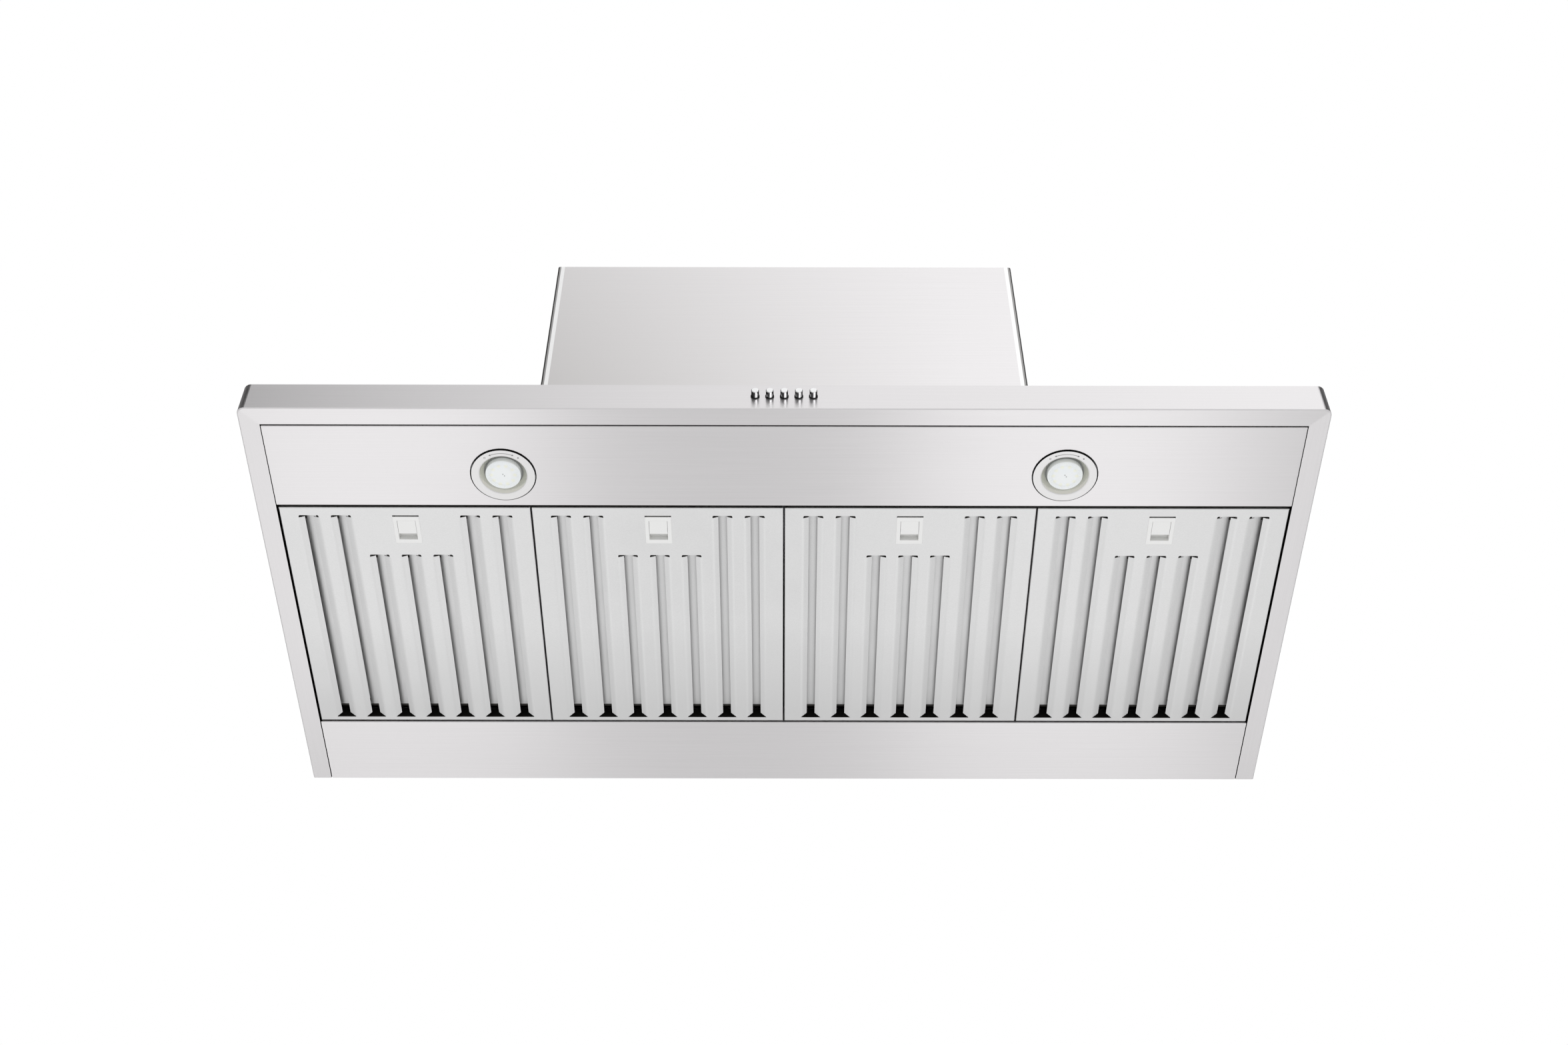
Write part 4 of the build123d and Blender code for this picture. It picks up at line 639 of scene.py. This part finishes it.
# %% [markdown]
# ## Gate marks on the lenses
# Plastic enters the mould in the middle of the lens, and the cut-off gates leave two small grey spots.
# They are discs that stand a hair proud of the lens.

# %% Gate marks
gate_grey = moulded_plastic("gate_grey", "#9A9C9A", "#A9ABA8", 0.5)
gate_radius, gate_height, gate_shifts = 0.0006, 0.0003, ((-0.0002, -0.0012), (0.0014, 0.0010))
gate_marks = []
for side in (-1, 1):
    for shift_x, shift_y in gate_shifts:
        gate = (side * lamp_x + shift_x, lamp_y + shift_y, lens_low.z)
        gate_marks.append(disc(16, gate_radius, gate, gate_height))
gates = joined("lens_gate_marks", gate_marks)
gates.data.materials.append(gate_grey)
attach(gates, "hood")
print("gate marks", len(gates.data.polygons), "faces")

# %% [markdown]
# ## Black rings round the bezels
# A thin black ring in each lamp hole is painted shade, and shows as a dark line round the bezel.
# It is a thin ring of the hole's size that hangs from the lamp can.

# %% Shade rings
# The rings' black is painted shade.
shade_ring_black = moulded_plastic("black_shade_ring", "#0B0B0B", "#161616", 0.85)
hole_radius, shade_ring_width, shade_ring_top, shade_ring_height = 0.0363, 0.0010, -0.0395, 0.0006
rings = []
for side in (-1, 1):
    rings.append(disc(96, hole_radius, (side * lamp_x, lamp_y, shade_ring_top), shade_ring_height, line=shade_ring_width))
shade_ring_pair = joined("lamp_shade_rings", rings)
shade_ring_pair.data.materials.append(shade_ring_black)
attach(shade_ring_pair, "hood")
print("shade_ring_pair", len(shade_ring_pair.data.polygons), "faces")

# %% [markdown]
# ## Marks on the lamp bezels
# A bezel twists to come off, and a thin printed arc with two arrow heads on its front side shows how.
# An open ring stands at one end of the arc and a filled dot at the other.
# Pad printing lays down a skin of ink, so each mark is a very thin disc or ring.
# Real ink is about 0.01 mm thick; 0.05 mm keeps the marks clear of the metal below.
# The arrow heads are printed over the arc's ends, so they stand a little higher than the arc.

# %% Printing ink
cover_mm = 0.6
pad_ink, tree, shader = finish("grey_pad_ink")
place = add(tree, "TexCoord").outputs["Object"]
cover = add(tree, "TexNoise", {"Vector": place, "Scale": 1000 / cover_mm, "Detail": 2.0}).outputs["Fac"]
shade = add(tree, "Mix", {"Factor": cover, 6: paint("#767676"), 7: paint("#8E8E8E")}, data_type="RGBA")
tree.links.new(shade.outputs[2], shader.inputs["Base Color"])
shader.inputs["Roughness"].default_value = 0.5
print("ink", pad_ink.name)

# %% Bezel marks
ink_thickness, head_lift, mark_radius = 0.00005, 0.00002, 0.0302
arc_line, ring_line, head_size, ring_size, dot_size = 0.0006, 0.0004, 0.0014, 0.0011, 0.0009
arc_end, sign_angle = math.radians(24), math.radians(37)
bezel_face_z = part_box("lamp_bezel_left")[0].z


def on_ring(angle, lift=0.0):
    """A place on the left bezel's face or a little proud of it, at an angle from its front side."""
    across, along = mark_radius * math.sin(angle), mark_radius * math.cos(angle)
    return (across - lamp_x, lamp_y - along, bezel_face_z - lift)


def in_arc(middle):
    """True between the two arrow heads."""
    return abs(math.atan2(middle.x + lamp_x, lamp_y - middle.y)) < arc_end


lamp_centre = (-lamp_x, lamp_y, bezel_face_z)
left_marks = joined("bezel_marks_left", [
    disc(180, mark_radius + arc_line / 2, lamp_centre, ink_thickness, line=arc_line, kept=in_arc),
    disc(3, head_size, on_ring(-arc_end, head_lift), ink_thickness, turn=math.radians(90) - arc_end),
    disc(3, head_size, on_ring(arc_end, head_lift), ink_thickness, turn=arc_end - math.radians(90)),
    disc(24, ring_size, on_ring(-sign_angle), ink_thickness, line=ring_line),
    disc(24, dot_size, on_ring(sign_angle), ink_thickness),
])
left_marks.data.materials.append(pad_ink)
right_marks = copied(left_marks, move=(2 * lamp_x, 0.0, 0.0))
right_marks.name = "bezel_marks_right"
for marks, body in ((left_marks, "bezel_left"), (right_marks, "bezel_right")):
    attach(marks, body)
print("bezel marks", len(left_marks.data.polygons), "faces each")

# %% [markdown]
# ## The housing screws
# The box is held together by pan-head screws with a cross recess.
# The frame has plain heads and knows where each one sits: a copy of that piece, merged and separated into
# its loose parts, gives a box for every screw, and the box's odd side is the screw's axis.
# One head is modelled with a rounded rim, a cross is cut into it, and it is copied to all the places.

# %% Screw places
choose(nodes["housing_screws"])
bpy.ops.object.duplicate()
loose = bpy.context.object
edit(loose)
bpy.ops.mesh.select_all(action="SELECT")
bpy.ops.mesh.remove_doubles(threshold=0.00001)
bpy.ops.mesh.separate(type="LOOSE")
bpy.ops.object.mode_set(mode="OBJECT")
screw_places = []
for part in list(bpy.context.selected_objects):
    corners = [vertex.co for vertex in part.data.vertices]
    low = Vector([min(corner[i] for corner in corners) for i in range(3)])
    high = Vector([max(corner[i] for corner in corners) for i in range(3)])
    sides = high - low
    axis = max(range(3), key=lambda i: abs(sides[i] - (sum(sides) - sides[i]) / 2))
    middle = (low + high) / 2
    outward = -1.0 if axis == 0 and middle.x < 0 else 1.0
    middle[axis] = high[axis] if outward > 0 else low[axis]
    screw_places.append((axis, outward, middle))
bpy.ops.object.delete()
print("places for", len(screw_places), "screws")

# %% Screw head
head_radius, head_height, head_round = 0.0038, 0.0022, 0.0011
cross_arm = (0.0008, 0.0040, 0.0024)
bpy.ops.object.select_all(action="DESELECT")
bpy.ops.mesh.primitive_cylinder_add(
    vertices=24, radius=head_radius, depth=head_height, location=(0.0, 0.0, -head_height / 2)
)
head = bpy.context.object
settle(head)
edit(head)
pick(head, lambda face: face.normal.z > 0.9)
bpy.ops.mesh.bevel(offset=head_round, segments=3, affect="EDGES")
settle(head)
bpy.ops.mesh.primitive_cube_add(size=1.0, location=(0.0, 0.0, 0.0))
cross = bpy.context.object
cross.scale = cross_arm
settle(cross)
for arm in (cross, copied(cross, turn=(0.0, 0.0, math.radians(90)))):
    bpy.context.view_layer.objects.active = head
    cut = head.modifiers.new("cross_recess", "BOOLEAN")
    cut.operation, cut.object, cut.solver = "DIFFERENCE", arm, "EXACT"
    bpy.ops.object.modifier_apply(modifier=cut.name)
    choose(arm)
    bpy.ops.object.delete()
print("screw head", len(head.data.polygons), "faces")

# %% Screw set
quarter, turn_between = math.radians(90), 0.7
heads = []
for number, (axis, outward, place) in enumerate(screw_places):
    lean = {0: (0.0, outward * quarter, 0.0),
            1: (-quarter, 0.0, 0.0),
            2: (0.0, 0.0, turn_between * number)}[axis]
    heads.append(copied(head, move=place, turn=lean))
choose(head)
bpy.ops.object.delete()
screws = joined("housing_screw_heads", heads)
bpy.ops.object.shade_smooth_by_angle(angle=math.radians(35))
screws.data.materials.append(bright_zinc)
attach(screws, "hood")
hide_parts("housing_screws")
print("screw heads", len(screws.data.polygons), "faces")

# %% [markdown]
# ## The floor and the studio
# The hood hangs in a white studio, far above a pale floor.
# Bright steel only looks like steel when it mirrors something darker, so the light isn't the same all round.
# The buttons show the lip behind them, and in it the front of the room, which is dark but for a stretch
# at the right. Only such a reflection of a reflection meets the dark floor and the bright stretch:
# the Light Path node counts the bounces, and the floor changes from the second one on.

# %% Floor
floor_size, floor_z, speck_mm = 60.0, -3.0, 80.0
bpy.ops.object.select_all(action="DESELECT")
bpy.ops.mesh.primitive_plane_add(size=floor_size, location=(0.0, 0.0, floor_z))
floor = bpy.context.object
floor.name = "studio_floor"
stretch_start, stretch_end, room_front = (0.1, 0.4), (4.5, 6.5), -1.5
streak_level, second_bounce, room_dark = 1.4, 1.5, "#0A0A0A"
floor_paint, tree, shader = finish("pale_floor_paint")
place = add(tree, "TexCoord").outputs["Object"]
speck = add(tree, "TexNoise", {"Vector": place, "Scale": 1000 / speck_mm}).outputs["Fac"]
shade = add(tree, "Mix", {"Factor": speck, 6: paint("#EAEAEA"), 7: paint("#EEEEEE")}, data_type="RGBA")
apart = add(tree, "SeparateXYZ", {0: place})
begun = add(tree, "MapRange", {"Value": apart.outputs["X"], "From Min": stretch_start[0],
                               "From Max": stretch_start[1]})
lit = add(tree, "MapRange", {"Value": apart.outputs["X"], "From Min": stretch_end[0],
                             "From Max": stretch_end[1], "To Min": begun.outputs[0], "To Max": 0.0})
ahead = add(tree, "Math", {0: apart.outputs["Y"], 1: room_front}, operation="LESS_THAN")
bounces = add(tree, "LightPath").outputs["Glossy Depth"]
again = add(tree, "Math", {0: bounces, 1: second_bounce}, operation="GREATER_THAN")
again = add(tree, "Math", {0: again.outputs[0], 1: ahead.outputs[0]}, operation="MULTIPLY")
dark = add(tree, "Math", {0: 1.0, 1: lit.outputs[0]}, operation="SUBTRACT")
dark = add(tree, "Math", {0: again.outputs[0], 1: dark.outputs[0]}, operation="MULTIPLY")
shade = add(tree, "Mix", {"Factor": dark.outputs[0], 6: shade.outputs[2], 7: paint(room_dark)},
            data_type="RGBA")
tree.links.new(shade.outputs[2], shader.inputs["Base Color"])
streak = add(tree, "Math", {0: again.outputs[0], 1: lit.outputs[0]}, operation="MULTIPLY")
streak = add(tree, "Math", {0: streak.outputs[0], 1: streak_level}, operation="MULTIPLY")
tree.links.new(streak.outputs[0], shader.inputs["Emission Strength"])
shader.inputs["Emission Color"].default_value = (1.0, 1.0, 1.0, 1.0)
shader.inputs["Roughness"].default_value = 0.9
shader.inputs["Specular IOR Level"].default_value = 0.1
floor.data.materials.append(floor_paint)
floor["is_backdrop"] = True
print("floor", floor.dimensions.x, "m wide")

# %% [markdown]
# ## The world
# What a metal shows is what stands round it, so the mirrored world changes its tone from left to right:
# dim at the upper left, bright at the upper right, and dark at each side for the round edges to pick up.
# Straight to the camera, and through clear pieces, it is plain white.
# As with the floor, the front of the room is dark for a reflection of a reflection.

# %% World light
world = bpy.data.worlds.new("white_studio")
bpy.context.scene.world = world
world.use_nodes = True
tree = world.node_tree
ray = add(tree, "LightPath")
way = add(tree, "SeparateXYZ", {0: add(tree, "TexCoord").outputs["Generated"]})
turn = add(tree, "MapRange", {"Value": way.outputs["X"], "From Min": -1.0, "From Max": 1.0})
ramp = add(tree, "ValToRGB", {"Fac": turn.outputs[0]})
stops = ((0.0, 0.60), (0.06, 0.50), (0.14, 0.02), (0.31, 0.02), (0.355, 0.42), (0.40, 0.74),
         (0.45, 0.92), (0.50, 1.06), (0.57, 1.14), (0.63, 1.24), (0.67, 1.26), (0.73, 0.03),
         (0.86, 0.02), (0.94, 0.50), (1.0, 0.60))
horizon_tone, plain_tone, camera_white = (0.95, 0.95, 0.95, 1.0), (0.9, 0.9, 0.9, 1.0), (1.0, 1.0, 1.0, 1.0)
horizon_top, front_limit = 0.3, -0.1
while len(ramp.color_ramp.elements) < len(stops):
    ramp.color_ramp.elements.new(0.5)
for element, (where, level) in zip(ramp.color_ramp.elements, stops):
    element.position = where
    element.color = (level, level, level, 1.0)
rise = add(tree, "MapRange", {"Value": way.outputs["Z"], "From Min": 0.0, "From Max": horizon_top},
           interpolation_type="SMOOTHSTEP")
mirrored = add(tree, "Mix", {"Factor": rise.outputs[0], 6: horizon_tone, 7: ramp.outputs[0]},
               data_type="RGBA")
again = add(tree, "Math", {0: ray.outputs["Glossy Depth"], 1: second_bounce}, operation="GREATER_THAN")
ahead = add(tree, "Math", {0: way.outputs["Y"], 1: front_limit}, operation="LESS_THAN")
dark = add(tree, "Math", {0: again.outputs[0], 1: ahead.outputs[0]}, operation="MULTIPLY")
mirrored = add(tree, "Mix", {"Factor": dark.outputs[0], 6: mirrored.outputs[2], 7: paint(room_dark)},
               data_type="RGBA")
glossy = add(tree, "Mix", {"Factor": ray.outputs["Is Glossy Ray"], 6: plain_tone, 7: mirrored.outputs[2]},
             data_type="RGBA")
direct = add(tree, "Math", {0: ray.outputs["Is Camera Ray"], 1: ray.outputs["Is Transmission Ray"]},
             operation="MAXIMUM")
seen = add(tree, "Mix", {"Factor": direct.outputs[0], 6: glossy.outputs[2], 7: camera_white},
           data_type="RGBA")
tree.links.new(seen.outputs[2], tree.nodes["Background"].inputs["Color"])
print("world with", len(stops), "steps from left to right")

# %% [markdown]
# ## Strip lights
# Two long soft lamps near the floor shine upwards, and the brushed underside mirrors them as two bands.
# Area lamps are used because their edges blur gently in the grain; the camera doesn't see them.


# %% Strip lights
def strip(name, place, size, watts):
    """A soft rectangular lamp that the camera doesn't see."""
    bpy.ops.object.select_all(action="DESELECT")
    bpy.ops.object.light_add(type="AREA", location=place, rotation=(math.radians(180), 0.0, 0.0))
    lamp = bpy.context.object
    lamp.name = name
    lamp.data.shape = "RECTANGLE"
    lamp.data.size, lamp.data.size_y = size
    lamp.data.energy = watts
    lamp.visible_camera = False
    print(name, watts, "W")


strip("floor_strip_left", (-1.0, 1.2, -2.2), (0.9, 2.4), 3.6)
strip("floor_strip_right", (0.68, 1.2, -2.2), (0.8, 2.4), 3.4)

# %% [markdown]
# ## Picture settings and the end
# The standard view keeps every colour as it is written.
# The size of the dressed hood is printed at the end.

# %% Finish
bpy.context.scene.view_settings.view_transform = "Standard"
low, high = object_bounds()
print("size in metres", [round(v, 4) for v in high - low])
